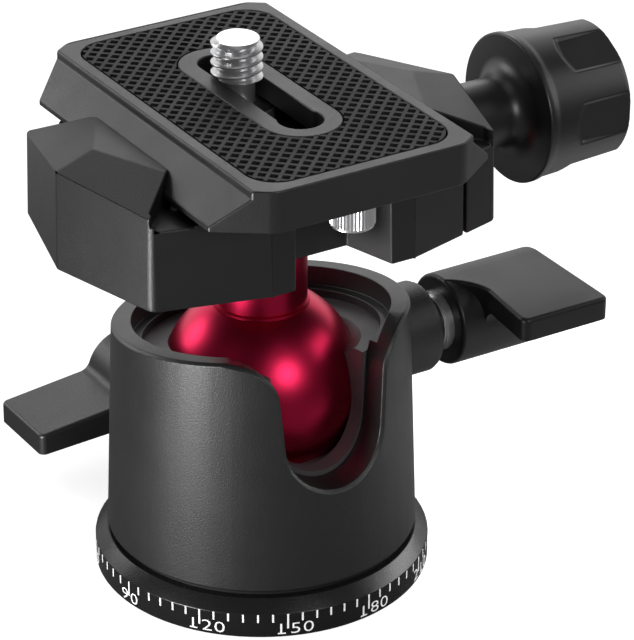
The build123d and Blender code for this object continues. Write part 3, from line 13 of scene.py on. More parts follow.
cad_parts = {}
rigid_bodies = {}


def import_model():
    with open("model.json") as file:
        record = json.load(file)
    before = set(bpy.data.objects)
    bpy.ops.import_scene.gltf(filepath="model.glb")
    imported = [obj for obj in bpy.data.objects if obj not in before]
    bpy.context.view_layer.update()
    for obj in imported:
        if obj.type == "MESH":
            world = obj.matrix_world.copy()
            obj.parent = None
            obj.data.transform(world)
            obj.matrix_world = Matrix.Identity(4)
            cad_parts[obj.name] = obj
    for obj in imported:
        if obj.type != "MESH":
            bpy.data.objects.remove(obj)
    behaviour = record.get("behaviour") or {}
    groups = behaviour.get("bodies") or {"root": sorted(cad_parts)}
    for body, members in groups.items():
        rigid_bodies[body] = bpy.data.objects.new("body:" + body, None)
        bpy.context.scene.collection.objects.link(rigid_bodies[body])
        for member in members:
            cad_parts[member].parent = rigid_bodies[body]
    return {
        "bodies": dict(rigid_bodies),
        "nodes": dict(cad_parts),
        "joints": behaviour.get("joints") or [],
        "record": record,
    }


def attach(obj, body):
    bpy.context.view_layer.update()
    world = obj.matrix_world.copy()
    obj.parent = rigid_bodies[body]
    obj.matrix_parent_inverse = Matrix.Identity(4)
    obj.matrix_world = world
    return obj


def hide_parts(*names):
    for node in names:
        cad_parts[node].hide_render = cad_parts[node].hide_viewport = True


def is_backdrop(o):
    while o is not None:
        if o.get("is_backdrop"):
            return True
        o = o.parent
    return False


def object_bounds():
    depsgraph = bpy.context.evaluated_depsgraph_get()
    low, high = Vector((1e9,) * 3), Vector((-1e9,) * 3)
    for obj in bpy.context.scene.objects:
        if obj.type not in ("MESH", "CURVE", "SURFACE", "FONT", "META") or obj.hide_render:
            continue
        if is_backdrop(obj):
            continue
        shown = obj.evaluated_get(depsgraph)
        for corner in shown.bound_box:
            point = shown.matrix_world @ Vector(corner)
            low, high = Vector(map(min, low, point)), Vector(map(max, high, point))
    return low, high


LOG = logging.getLogger("ball_head")
MM = 0.001
Point = tuple[float, float, float]
Colour = tuple[float, float, float]
Mesh = bmesh.types.BMesh
Piece = bpy.types.Object
Tree = bpy.types.NodeTree
Socket = bpy.types.NodeSocket

# Lengths and areas below, and in every class, are in millimetres.

# Vertices nearer than this are merged: in a new mesh, along a cut, in a copied CAD node
# and after its edges are rounded.
NEW_MERGE = 0.0005
CUT_MERGE = 0.0001
COPY_MERGE = 0.004
ROUND_MERGE = 0.002

# A copied CAD node's facets are merged where they turn less than FLAT_ANGLE. In a node with
# slivers, edges under SLIVER_WIDTH that border a face under SLIVER_FACE collapse first, and
# facets are then merged up to SLIVER_ANGLE.
FLAT_ANGLE = math.radians(0.6)
SLIVER_FACE = 0.2
SLIVER_WIDTH = 0.06
SLIVER_ANGLE = math.radians(2.5)

# An edge is rounded where it turns more than CRISP_ANGLE, or more than RIDGE_ANGLE between two
# faces over RIDGE_FACE, unless it is shorter than SHORT_EDGE of the rounding's width.
CRISP_ANGLE = math.radians(25)
RIDGE_ANGLE = math.radians(10)
RIDGE_FACE = 5.0
SHORT_EDGE = 0.6
ROUND_SEGMENTS = 2

# Faces that meet at a corner and turn less than this, in degrees, share a normal there.
BLEND_DEGREES = 50.0

# A tangent runs along Y while its normal's Y share is under STRAIGHT_SLACK, and a vertex is at
# a level while it is nearer than LEVEL_SLACK.
STRAIGHT_SLACK = 0.01
LEVEL_SLACK = 0.001

# The grain's noise stays about between these values, and its bumps are this high.
NOISE_LOW = 0.3
NOISE_HIGH = 0.7
GRAIN_HEIGHT = 0.1
CLOUDS_PER_METRE = 180.0

# Socket numbers of the Mix node, whose names repeat.
MIX_NUMBERS = (2, 3)
MIX_COLOURS = (6, 7)
MIXED_COLOUR = 2


class Grain(Enum):
    """A metal surface's grain: the bump's strength and the grain's size in millimetres."""

    BEAD_BLASTED = (0.34, 0.17)
    SATIN = (0.1, 0.14)
    SMOOTH = (0.01, 0.2)


def eased(share: float) -> float:
    """Smooth step from 0 to 1."""
    return share * share * (3 - 2 * share)


# ---- Shader nodes ----


def add(tree: Tree, kind: str, **values: object) -> bpy.types.Node:
    """Adds a node and sets its properties and inputs by name.

    Args:
        tree: The node tree to add to.
        kind: The node's type.
        **values: Properties, or input sockets with spaces written as underscores.

    Returns:
        The new node.
    """
    node = tree.nodes.new(kind)
    for label, value in values.items():
        if hasattr(node, label):
            setattr(node, label, value)
        else:
            node.inputs[label.replace("_", " ")].default_value = value
    return node


def grain_group() -> Tree:
    """Fine grain: a height for bump, and a mask that also holds broad, soft clouds.

    Returns:
        The group, made once.
    """
    found = bpy.data.node_groups.get("fine_grain")
    if found:
        return found
    tree = bpy.data.node_groups.new("fine_grain", "ShaderNodeTree")
    for label, value in (("Size", 0.1), ("Cloud", 0.5)):
        socket = tree.interface.new_socket(label, in_out="INPUT", socket_type="NodeSocketFloat")
        socket.default_value = value
    for label in ("Height", "Mask"):
        tree.interface.new_socket(label, in_out="OUTPUT", socket_type="NodeSocketFloat")
    link = tree.links.new
    source, out = add(tree, "NodeGroupInput"), add(tree, "NodeGroupOutput")
    place = add(tree, "ShaderNodeTexCoord")
    scale = add(tree, "ShaderNodeMath", operation="DIVIDE")
    scale.inputs[0].default_value = 1.0 / MM
    link(source.outputs["Size"], scale.inputs[1])
    fine = add(tree, "ShaderNodeTexNoise", Detail=2.0, Roughness=0.6)
    link(place.outputs["Object"], fine.inputs["Vector"])
    link(scale.outputs[0], fine.inputs["Scale"])
    cloud = add(tree, "ShaderNodeTexNoise", Scale=CLOUDS_PER_METRE, Detail=3.0)
    link(place.outputs["Object"], cloud.inputs["Vector"])
    blend = add(tree, "ShaderNodeMix", data_type="FLOAT")
    link(source.outputs["Cloud"], blend.inputs[0])
    link(fine.outputs["Fac"], blend.inputs[MIX_NUMBERS[0]])
    link(cloud.outputs["Fac"], blend.inputs[MIX_NUMBERS[1]])
    link(fine.outputs["Fac"], out.inputs["Height"])
    link(blend.outputs[0], out.inputs["Mask"])
    return tree


# ---- Finishes ----


@dataclass(frozen=True)
class Finish:
    """One finish, made once as a Blender material.

    spread is how far the roughness varies to each side, and tint_spread the colour, as a share.
    """

    name: str
    colour: Colour
    roughness: float
    metallic: float = 0.0
    specular: float = 0.5
    grain: Grain = Grain.SATIN
    spread: float = 0.08
    tint_spread: float = 0.06

    def material(self) -> bpy.types.Material:
        """Builds the material, or finds it if it's there already.

        Returns:
            The material.
        """
        label = f"{self.name}_finish"
        found = bpy.data.materials.get(label)
        if found:
            return found
        material = bpy.data.materials.new(label)
        material.use_nodes = True
        tree = material.node_tree
        link = tree.links.new
        shader = tree.nodes["Principled BSDF"]
        shader.inputs["Metallic"].default_value = self.metallic
        shader.inputs["Specular IOR Level"].default_value = self.specular
        strength, size = self.grain.value
        grain = add(tree, "ShaderNodeGroup", node_tree=grain_group())
        grain.inputs["Size"].default_value = size
        mask, height = grain.outputs["Mask"], grain.outputs["Height"]
        bump = add(tree, "ShaderNodeBump", Strength=strength, Distance=GRAIN_HEIGHT * MM)
        link(height, bump.inputs["Height"])
        link(bump.outputs[0], shader.inputs["Normal"])
        gloss = add(
            tree,
            "ShaderNodeMapRange",
            From_Min=NOISE_LOW,
            From_Max=NOISE_HIGH,
            To_Min=self.roughness - self.spread,
            To_Max=self.roughness + self.spread,
        )
        link(mask, gloss.inputs["Value"])
        link(gloss.outputs[0], shader.inputs["Roughness"])
        tint = add(tree, "ShaderNodeMix", data_type="RGBA")
        for socket, sign in zip(MIX_COLOURS, (-1, 1)):
            shade = [value * (1 + sign * self.tint_spread) for value in self.colour]
            tint.inputs[socket].default_value = (*shade, 1)
        link(mask, tint.inputs[0])
        link(tint.outputs[MIXED_COLOUR], shader.inputs["Base Color"])
        return material


BLACK = (0.0065, 0.0065, 0.0068)
BRIGHT = (0.72, 0.72, 0.73)
BLASTED, SATIN, SMOOTH = Grain.BEAD_BLASTED, Grain.SATIN, Grain.SMOOTH
ANODISED = Finish("satin_black_anodised", BLACK, 0.44, specular=0.8, grain=BLASTED, spread=0.05)
CLAMP_BLACK = Finish("clamp_black_anodised", BLACK, 0.45, specular=0.6, grain=BLASTED, spread=0.05)
PLATE_BLACK = Finish("plate_black_anodised", BLACK, 0.45, specular=0.82, grain=BLASTED, spread=0.05)
DIAL_BLACK = Finish("dial_black_anodised", BLACK, 0.28, specular=0.35, grain=SATIN, spread=0.04)
KNOB_BLACK = Finish("knob_black_anodised", BLACK, 0.36, specular=0.8, grain=SATIN, spread=0.04)
PADDLE_BLACK = Finish(
    "paddle_black_anodised", BLACK, 0.42, specular=1.0, grain=BLASTED, spread=0.04
)
LEVER_BLACK = Finish("lever_black_anodised", BLACK, 0.4, specular=0.45, grain=SATIN, spread=0.04)
RED = Finish("red_anodised", (0.72, 0.02, 0.085), 0.35, metallic=1.0, grain=SMOOTH, spread=0.03)
LINER = Finish("black_acetal", (0.075, 0.066, 0.071), 0.42, grain=SMOOTH)
STEEL = Finish("bright_steel", BRIGHT, 0.29, metallic=0.9, grain=SMOOTH, spread=0.02)
KNURLED = Finish("nickel_plate", BRIGHT, 0.3, metallic=0.85, grain=SMOOTH, spread=0.03)
SPRING = Finish("spring_steel", (0.4, 0.4, 0.42), 0.3, metallic=1.0, grain=SMOOTH)
NYLON = Finish("black_nylon", (0.01, 0.01, 0.01), 0.6, specular=0.3, grain=SMOOTH)
RUBBER = Finish("moulded_rubber", (0.02, 0.02, 0.021), 0.62, specular=0.35, grain=SATIN)
PAINT = Finish("white_dial_paint", (0.8, 0.8, 0.8), 0.5, specular=0.3, grain=SMOOTH, spread=0.05)


# ---- Mesh helpers ----


def finish_mesh(mesh: Mesh, name: str, sharp_degrees: float = 32.0) -> Piece:
    """Closes a new mesh's seams, turns its faces outwards and makes an object of it.

    Args:
        mesh: The mesh, in millimetres, freed afterwards.
        name: The piece's name.
        sharp_degrees: Edges that turn more than this stay crisp.

    Returns:
        The new object, in metres, linked to the scene.
    """
    bmesh.ops.remove_doubles(mesh, verts=mesh.verts[:], dist=NEW_MERGE)
    bmesh.ops.recalc_face_normals(mesh, faces=mesh.faces[:])
    return to_object(mesh, name, sharp_degrees)


def to_object(mesh: Mesh, name: str, sharp_degrees: float) -> Piece:
    """Shades a mesh smooth between its crisp edges and makes an object of it.

    Args:
        mesh: The mesh, in millimetres, freed afterwards.
        name: The piece's name.
        sharp_degrees: Edges that turn more than this stay crisp.

    Returns:
        The new object, in metres, linked to the scene.
    """
    bmesh.ops.scale(mesh, vec=(MM,) * 3, verts=mesh.verts[:])
    limit = math.radians(sharp_degrees)
    for face in mesh.faces:
        face.smooth = True
    for edge in mesh.edges:
        edge.smooth = len(edge.link_faces) == 2 and edge.calc_face_angle(0.0) < limit
    data = bpy.data.meshes.new(name)
    mesh.to_mesh(data)
    mesh.free()
    piece = bpy.data.objects.new(name, data)
    bpy.context.scene.collection.objects.link(piece)
    return piece


def add_box(mesh: Mesh, size: Point, place: Point) -> list[bmesh.types.BMVert]:
    """Adds a box.

    Args:
        mesh: The mesh to add to.
        size: The box's width, depth and height.
        place: Its centre.

    Returns:
        Its vertices.
    """
    made = bmesh.ops.create_cube(mesh, size=1.0)["verts"]
    bmesh.ops.scale(mesh, vec=size, verts=made)
    bmesh.ops.translate(mesh, vec=place, verts=made)
    return made


def turn_about_z(mesh: Mesh, verts: list[bmesh.types.BMVert], angle: float) -> None:
    """Turns vertices about the Z axis by an angle in radians."""
    turn = Matrix.Rotation(angle, 3, "Z")
    bmesh.ops.rotate(mesh, cent=(0, 0, 0), matrix=turn, verts=verts)


def open_edges(mesh: Mesh) -> list[bmesh.types.BMEdge]:
    """Finds the edges that border only one face."""
    return [edge for edge in mesh.edges if len(edge.link_faces) == 1]


def cut(mesh: Mesh, place: Point | Vector, normal: Point | Vector, drop: bool = False) -> None:
    """Cuts a whole mesh by a plane.

    Args:
        mesh: The mesh.
        place: A point of the plane.
        normal: The plane's normal.
        drop: Whether what lies beyond the plane is deleted.
    """
    bmesh.ops.bisect_plane(
        mesh,
        geom=mesh.verts[:] + mesh.edges[:] + mesh.faces[:],
        dist=CUT_MERGE,
        plane_co=place,
        plane_no=normal,
        clear_outer=drop,
    )


def add_mesh(mesh: Mesh, other: Mesh) -> None:
    """Adds a second mesh to the first.

    Args:
        mesh: The mesh to add to.
        other: The second mesh, freed afterwards.
    """
    carrier = bpy.data.meshes.new("carrier")
    other.to_mesh(carrier)
    other.free()
    mesh.from_mesh(carrier)
    bpy.data.meshes.remove(carrier)


def lathe(mesh: Mesh, profile: list[tuple[float, float]], height: float, steps: int) -> None:
    """Spins a closed profile round an axis that runs along X.

    Args:
        mesh: The mesh to add to.
        profile: Corners as (radius, X place); the last joins the first.
        height: The axis's height.
        steps: Segments round the full turn.
    """
    made = [mesh.verts.new((radius, 0, place)) for radius, place in profile]
    edges = [mesh.edges.new(pair) for pair in zip(made, made[1:] + made[:1])]
    bmesh.ops.spin(
        mesh,
        geom=made + edges,
        cent=(0, 0, 0),
        axis=(0, 0, 1),
        angle=math.tau,
        steps=steps,
        use_merge=True,
    )
    place = Matrix.Translation((0, 0, height)) @ Matrix.Rotation(math.radians(90), 4, "Y")
    bmesh.ops.remove_doubles(mesh, verts=mesh.verts[:], dist=NEW_MERGE)
    bmesh.ops.transform(mesh, matrix=place, verts=mesh.verts[:])


def copied(node: Piece) -> Mesh:
    """Copies a CAD node's mesh in millimetres and merges its loose triangles.

    Args:
        node: The CAD node.

    Returns:
        The copy.
    """
    mesh = bmesh.new()
    mesh.from_mesh(node.data)
    bmesh.ops.scale(mesh, vec=(1 / MM,) * 3, verts=mesh.verts[:])
    bmesh.ops.remove_doubles(mesh, verts=mesh.verts[:], dist=COPY_MERGE)
    return mesh


def soften(node: Piece, width: float, name: str, slivers: bool) -> Piece:
    """Copies a CAD node, merges its facets and rounds its crisp edges.

    Args:
        node: The CAD node.
        width: The rounding's width.
        name: The new piece's name.
        slivers: Whether its finest facets collapse first.

    Returns:
        The new piece, which doesn't ride on anything yet.
    """
    mesh = copied(node)
    merge_flat(mesh, FLAT_ANGLE)
    if slivers:
        tiny = [e for e in mesh.edges if any(f.calc_area() < SLIVER_FACE for f in e.link_faces)]
        bmesh.ops.dissolve_degenerate(mesh, dist=SLIVER_WIDTH, edges=tiny)
        merge_flat(mesh, SLIVER_ANGLE)
    bmesh.ops.bevel(
        mesh,
        geom=crisp_edges(mesh, width * SHORT_EDGE),
        offset=width,
        offset_type="OFFSET",
        segments=ROUND_SEGMENTS,
        profile=0.5,
        affect="EDGES",
        clamp_overlap=False,
        loop_slide=True,
        material=-1,
    )
    bmesh.ops.remove_doubles(mesh, verts=mesh.verts[:], dist=ROUND_MERGE)
    piece = to_object(mesh, name, BLEND_DEGREES)
    weigh_normals(piece.data)
    return piece


def merge_flat(mesh: Mesh, limit: float) -> None:
    """Merges facets that turn by less than a limit in radians."""
    bmesh.ops.dissolve_limit(
        mesh,
        angle_limit=limit,
        use_dissolve_boundaries=False,
        verts=mesh.verts[:],
        edges=mesh.edges[:],
        delimit=set(),
    )


def crisp_edges(mesh: Mesh, shortest: float) -> list[bmesh.types.BMEdge]:
    """Finds the edges to round: crisp ones, and blunt ridges between broad faces.

    Args:
        mesh: The mesh.
        shortest: Edges no longer than this are left out.

    Returns:
        The edges.
    """
    found = []
    for edge in mesh.edges:
        if len(edge.link_faces) == 2 and edge.calc_length() > shortest:
            angle = edge.calc_face_angle(0.0)
            broad = min(face.calc_area() for face in edge.link_faces) > RIDGE_FACE
            if angle > CRISP_ANGLE or (broad and angle > RIDGE_ANGLE):
                found.append(edge)
    return found


def weigh_normals(data: bpy.types.Mesh) -> None:
    """Shades broad faces flat, so that only the roundings between them turn.

    Args:
        data: The mesh, in metres.
    """
    blunt = math.cos(math.radians(BLEND_DEGREES))
    ridge = math.cos(RIDGE_ANGLE)
    broad = RIDGE_FACE * MM * MM
    around: list[list[int]] = [[] for _ in data.vertices]
    for face in data.polygons:
        for index in face.vertices:
            around[index].append(face.index)
    normals = [face.normal.copy() for face in data.polygons]
    areas = [face.area for face in data.polygons]
    blended = []
    for face in data.polygons:
        own = normals[face.index]
        for index in face.vertices:
            total = Vector()
            for other in around[index]:
                limit = ridge if min(areas[other], face.area) > broad else blunt
                if normals[other].dot(own) > limit:
                    total += normals[other] * areas[other]
            blended.append(total.normalized() if total.length > 0 else own)
    data.normals_split_custom_set(blended)


def wear(piece: Piece, finish: Finish) -> None:
    """Gives a piece one finish in place of all its materials."""
    piece.data.materials.clear()
    piece.data.materials.append(finish.material())


# ---- Sub-assemblies ----


@dataclass
class SubAssembly:
    """A group of pieces, dressed and built on the frame's nodes."""

    frame: dict

    def node(self, name: str) -> Piece:
        """Finds a CAD node's object by name."""
        return self.frame["nodes"][name]

    def dress(self, finishes: dict[str, Finish]) -> None:
        """Gives CAD nodes their finishes.

        Args:
            finishes: Each node's name and finish.
        """
        for name, finish in finishes.items():
            wear(self.node(name), finish)
            LOG.info("dressed %s in %s", name, finish.name)

    def keep(self, piece: Piece, body: str, slot: str, finish: Finish, *nodes: str) -> None:
        """Puts a finished piece on its body, in place of CAD nodes.

        Args:
            piece: The new piece.
            body: The CAD body it rides on.
            slot: The record's material slot; not used.
            finish: Its finish.
            *nodes: CAD nodes that it stands for.
        """
        wear(piece, finish)
        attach(piece, body)
        if nodes:
            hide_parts(*nodes)
        LOG.info("piece %s on %s, %d faces", piece.name, body, len(piece.data.polygons))

    def rounded(
        self,
        name: str,
        body: str,
        slot: str,
        finish: Finish,
        width: float,
        slivers: bool = False,
    ) -> None:
        """Replaces a CAD node by a copy with rounded edges.

        Args:
            name: The CAD node.
            body: The CAD body it rides on.
            slot: The record's material slot.
            finish: Its finish.
            width: The rounding's width.
            slivers: Whether its finest facets collapse first.
        """
        piece = soften(self.node(name), width, f"{name}_soft", slivers)
        self.keep(piece, body, slot, finish, name)


@dataclass
class PanningBase(SubAssembly):
    """Dial disc with ticks and numbers, socket insert, spindle and screws.

    The band is the disc's rim, which carries the marks. A digit stands at an offset from its
    number's tick, and is stretched along the rim. The foot is a bar under each 1.
    """

    band_radius: float = 21.05
    band_top: float = 3.35
    first_degrees: float = -262.0
    tick_step: int = 5
    number_step: int = 30
    short_tick: float = 1.1
    long_tick: float = 2.05
    tick_width: float = 0.22
    digit_height: float = 1.7
    cap_height: float = 0.78
    digit_stretch: float = 1.4
    foot_width: float = 0.7
    foot_height: float = 0.17
    foot_shift: float = 0.06
    digit_boldness: float = -0.022
    digit_bottom: float = 0.55
    digit_offsets: tuple[float, ...] = (-0.85, 0.98, 2.6)
    digit_curve_steps: int = 3
    paint_depth: float = 0.02
    edge_width: float = 0.12

    def build(self) -> None:
        """Dresses the base and adds its painted marks."""
        steel = ["base_thread_insert", "thread_adapter", "pan_spindle", "pan_retainer"]
        steel += [f"{kind}_screw_{n}" for kind in ("spindle", "retainer") for n in (1, 2, 3)]
        self.dress({name: STEEL for name in steel})
        self.dress({"pan_washer": NYLON})
        self.rounded("base_disc", "base", "dial_marks", DIAL_BLACK, self.edge_width)
        self.keep(self.ticks(), "base", "dial_marks", PAINT)
        self.keep(self.numbers(), "base", "dial_marks", PAINT)

    def ticks(self) -> Piece:
        """Painted ticks round the band.

        Returns:
            One piece with every tick.
        """
        mesh = bmesh.new()
        for number in range(0, 360, self.tick_step):
            length = self.short_tick if number % self.number_step else self.long_tick
            size = (2 * self.paint_depth, self.tick_width, length)
            made = add_box(mesh, size, (self.band_radius, 0, self.band_top - length / 2))
            turn_about_z(mesh, made, math.radians(number + self.first_degrees))
        return finish_mesh(mesh, "dial_ticks")

    def numbers(self) -> Piece:
        """Painted numbers at the long ticks, bent to the band.

        Returns:
            One piece with every number.
        """
        mesh = bmesh.new()
        for number in range(0, 360, self.number_step):
            for digit, offset in zip(str(number), self.digit_offsets):
                self.add_digit(mesh, digit, number, offset)
        return finish_mesh(mesh, "dial_numbers")

    def add_digit(self, mesh: Mesh, digit: str, number: int, offset: float) -> None:
        """Adds one digit, wrapped round the band.

        Args:
            mesh: The mesh of all digits.
            digit: The digit.
            number: The dial number that it belongs to.
            offset: The digit's centre, right of the number's tick.
        """
        text = bpy.data.curves.new("digit", "FONT")
        text.body = digit
        text.size = self.digit_height / self.cap_height
        text.align_x = "CENTER"
        text.extrude = self.paint_depth
        text.offset = self.digit_boldness
        text.resolution_u = self.digit_curve_steps
        holder = bpy.data.objects.new("digit", text)
        bpy.context.scene.collection.objects.link(holder)
        bpy.context.view_layer.update()
        flat = bpy.data.meshes.new_from_object(holder)
        bpy.data.objects.remove(holder)
        made = bmesh.new()
        made.from_mesh(flat)
        bpy.data.meshes.remove(flat)
        if digit == "1":
            size = (self.foot_width, self.foot_height, 2 * self.paint_depth)
            add_box(made, size, (self.foot_shift, self.foot_height / 2, 0))
        around = math.radians(number + self.first_degrees)
        for vert in made.verts:
            angle = around + (vert.co.x * self.digit_stretch + offset) / self.band_radius
            radius = self.band_radius + vert.co.z
            height = self.digit_bottom + vert.co.y
            vert.co = Vector((radius * math.cos(angle), radius * math.sin(angle), height))
        add_mesh(mesh, made)


@dataclass
class Housing(SubAssembly):
    """Tapered shell, its seats, and both lock levers."""

    edge_width: float = 0.1

    def build(self) -> None:
        """Dresses the shell and the locks."""
        self.rounded("housing", "housing", "black_anodised", ANODISED, self.edge_width)
        self.dress(
            {
                "upper_seat": LINER,
                "lower_cup": LINER,
                "lock_shoe": LINER,
                "cup_spring": SPRING,
                "pan_shoe": STEEL,
                "main_lock_lever": LEVER_BLACK,
                "main_lock_stud": STEEL,
                "main_lock_collar": STEEL,
                "main_lock_spacer": ANODISED,
                "main_lock_screw": STEEL,
                "pan_lock_lever": PADDLE_BLACK,
                "pan_lock_stud": STEEL,
                "pan_lock_collar": STEEL,
                "pan_lock_screw": STEEL,
            }
        )


@dataclass
class BallAndNeck(SubAssembly):
    """Red ball and neck."""

    def build(self) -> None:
        """Dresses the ball, its core and the neck."""
        self.dress({"ball": RED, "ball_core": STEEL, "ball_stem": RED})


@dataclass
class Clamp(SubAssembly):
    """Clamp body, moving jaw and knob.

    The knob turns about X at knob_height. From its inner end it has a stem, a fillet, a bead at
    its rim, a slope down to the body, and a body that tapers to its outer end. Six flutes press
    the body in. The cap sits in a recess of the outer end.
    """

    clamp_edge: float = 0.26
    cap_edge: float = 0.16
    knob_height: float = 53.03
    bore_radius: float = 2.0
    stem_start: float = 28.4
    stem_radius: float = 4.45
    stem_chamfer: float = 0.2
    stem_fillet: float = 2.4
    knob_start: float = 35.95
    knob_end: float = 48.8
    rim_radius: float = 9.65
    bead_radius: float = 0.3
    bead_width: float = 1.0
    slope_lead: float = 0.3
    slope_end: float = 0.8
    slope_rows: int = 8
    body_radius: float = 9.4
    end_radius: float = 8.95
    body_rows: int = 44
    edge_radius: float = 0.6
    corner_steps: int = 10
    cap_radius: float = 5.2
    cap_depth: float = 1.0
    cap_chamfer: float = 0.1
    knob_steps: int = 360
    flute_count: int = 6
    flute_phase: float = 30.0
    flute_start: float = 40.35
    flute_run_out: float = 0.9
    flute_bow: float = 0.7
    flute_half: float = 2.8
    flute_wall: float = 0.3
    flute_floor: float = 8.45
    flute_margin: float = 2.0
    cap_margin: float = 0.5

    def build(self) -> None:
        """Dresses the clamp."""
        steel = ["clamp_bolt", "index_pin", "guide_pin_front", "guide_pin_back", "clamp_screw"]
        self.dress({name: STEEL for name in steel})
        self.dress({"knob_washer": KNOB_BLACK})
        slot, edge = "black_anodised", self.clamp_edge
        self.rounded("clamp_body", "head", slot, CLAMP_BLACK, edge, slivers=True)
        self.rounded("moving_jaw", "jaw", slot, CLAMP_BLACK, edge)
        self.keep(self.knob(), "knob", slot, KNOB_BLACK, "clamp_knob")
        self.rounded("knob_cap", "knob", slot, KNOB_BLACK, self.cap_edge)

    def knob(self) -> Piece:
        """Turned knob with its flutes pressed in.

        Returns:
            The knob piece.
        """
        mesh = bmesh.new()
        lathe(mesh, self.knob_profile(), self.knob_height, self.knob_steps)
        start = self.flute_start - self.flute_margin
        for vert in mesh.verts:
            side = Vector((vert.co.y, vert.co.z - self.knob_height))
            if vert.co.x > start and side.length > self.cap_radius + self.cap_margin:
                side *= self.pressed(vert.co.x, side) / side.length
                vert.co.y, vert.co.z = side.x, self.knob_height + side.y
        return finish_mesh(mesh, "clamp_knob_fluted", sharp_degrees=40.0)

    def knob_profile(self) -> list[tuple[float, float]]:
        """Outline of the knob from the stem's inner end round to its bore.

        Returns:
            Corners as (radius, X place).
        """
        start, end = self.knob_start, self.knob_end
        web, bead, edge = self.stem_fillet, self.bead_radius, self.edge_radius
        steps = self.corner_steps
        turns = [math.radians(90 * index / steps) for index in range(steps + 1)]
        quarter = [(1 - math.cos(angle), math.sin(angle)) for angle in turns]
        corners = [
            (self.bore_radius, self.stem_start),
            (self.stem_radius - self.stem_chamfer, self.stem_start),
            (self.stem_radius, self.stem_start + self.stem_chamfer),
        ]
        corners += [(self.stem_radius + web * out, start - web + web * on) for out, on in quarter]
        corners += [
            (self.rim_radius - bead * (1 - on), start + bead * out) for out, on in quarter[::2]
        ]
        neck = start + self.bead_width
        drop = self.rim_radius - self.body_radius
        run = self.slope_lead + self.slope_end
        for index in range(self.slope_rows + 1):
            share = index / self.slope_rows
            place = neck - self.slope_lead + run * share
            corners.append((self.rim_radius - drop * eased(share), place))
        first, last = neck + self.slope_end, end - edge
        for index in range(1, self.body_rows + 1):
            share = index / self.body_rows
            fall = (self.body_radius - self.end_radius) * share
            corners.append((self.body_radius - fall, first + (last - first) * share))
        corners += [
            (self.end_radius - edge * out, end - edge * (1 - on)) for out, on in quarter[::2]
        ]
        corners += [
            (self.cap_radius + self.cap_chamfer, end),
            (self.cap_radius, end - self.cap_chamfer),
            (self.cap_radius, end - self.cap_depth),
            (self.bore_radius, end - self.cap_depth),
        ]
        return corners

    def pressed(self, along: float, side: Vector) -> float:
        """Radius of the knob's skin where a flute may press it in.

        Args:
            along: The X place.
            side: The place across, from the knob's axis.

        Returns:
            The new radius.
        """
        radius = side.length
        step = math.tau / self.flute_count
        phase = math.radians(self.flute_phase)
        turn = (math.atan2(side.x, side.y) - phase + step / 2) % step - step / 2
        across = abs(radius * math.sin(turn))
        into = (self.flute_half - across) / self.flute_wall
        begin = self.flute_start + self.flute_bow * (across / self.flute_half) ** 2
        reached = (along - begin) / self.flute_run_out
        share = eased(min(max(min(into, reached), 0.0), 1.0))
        floor = min(radius, self.flute_floor / math.cos(turn))
        return radius + (floor - radius) * share


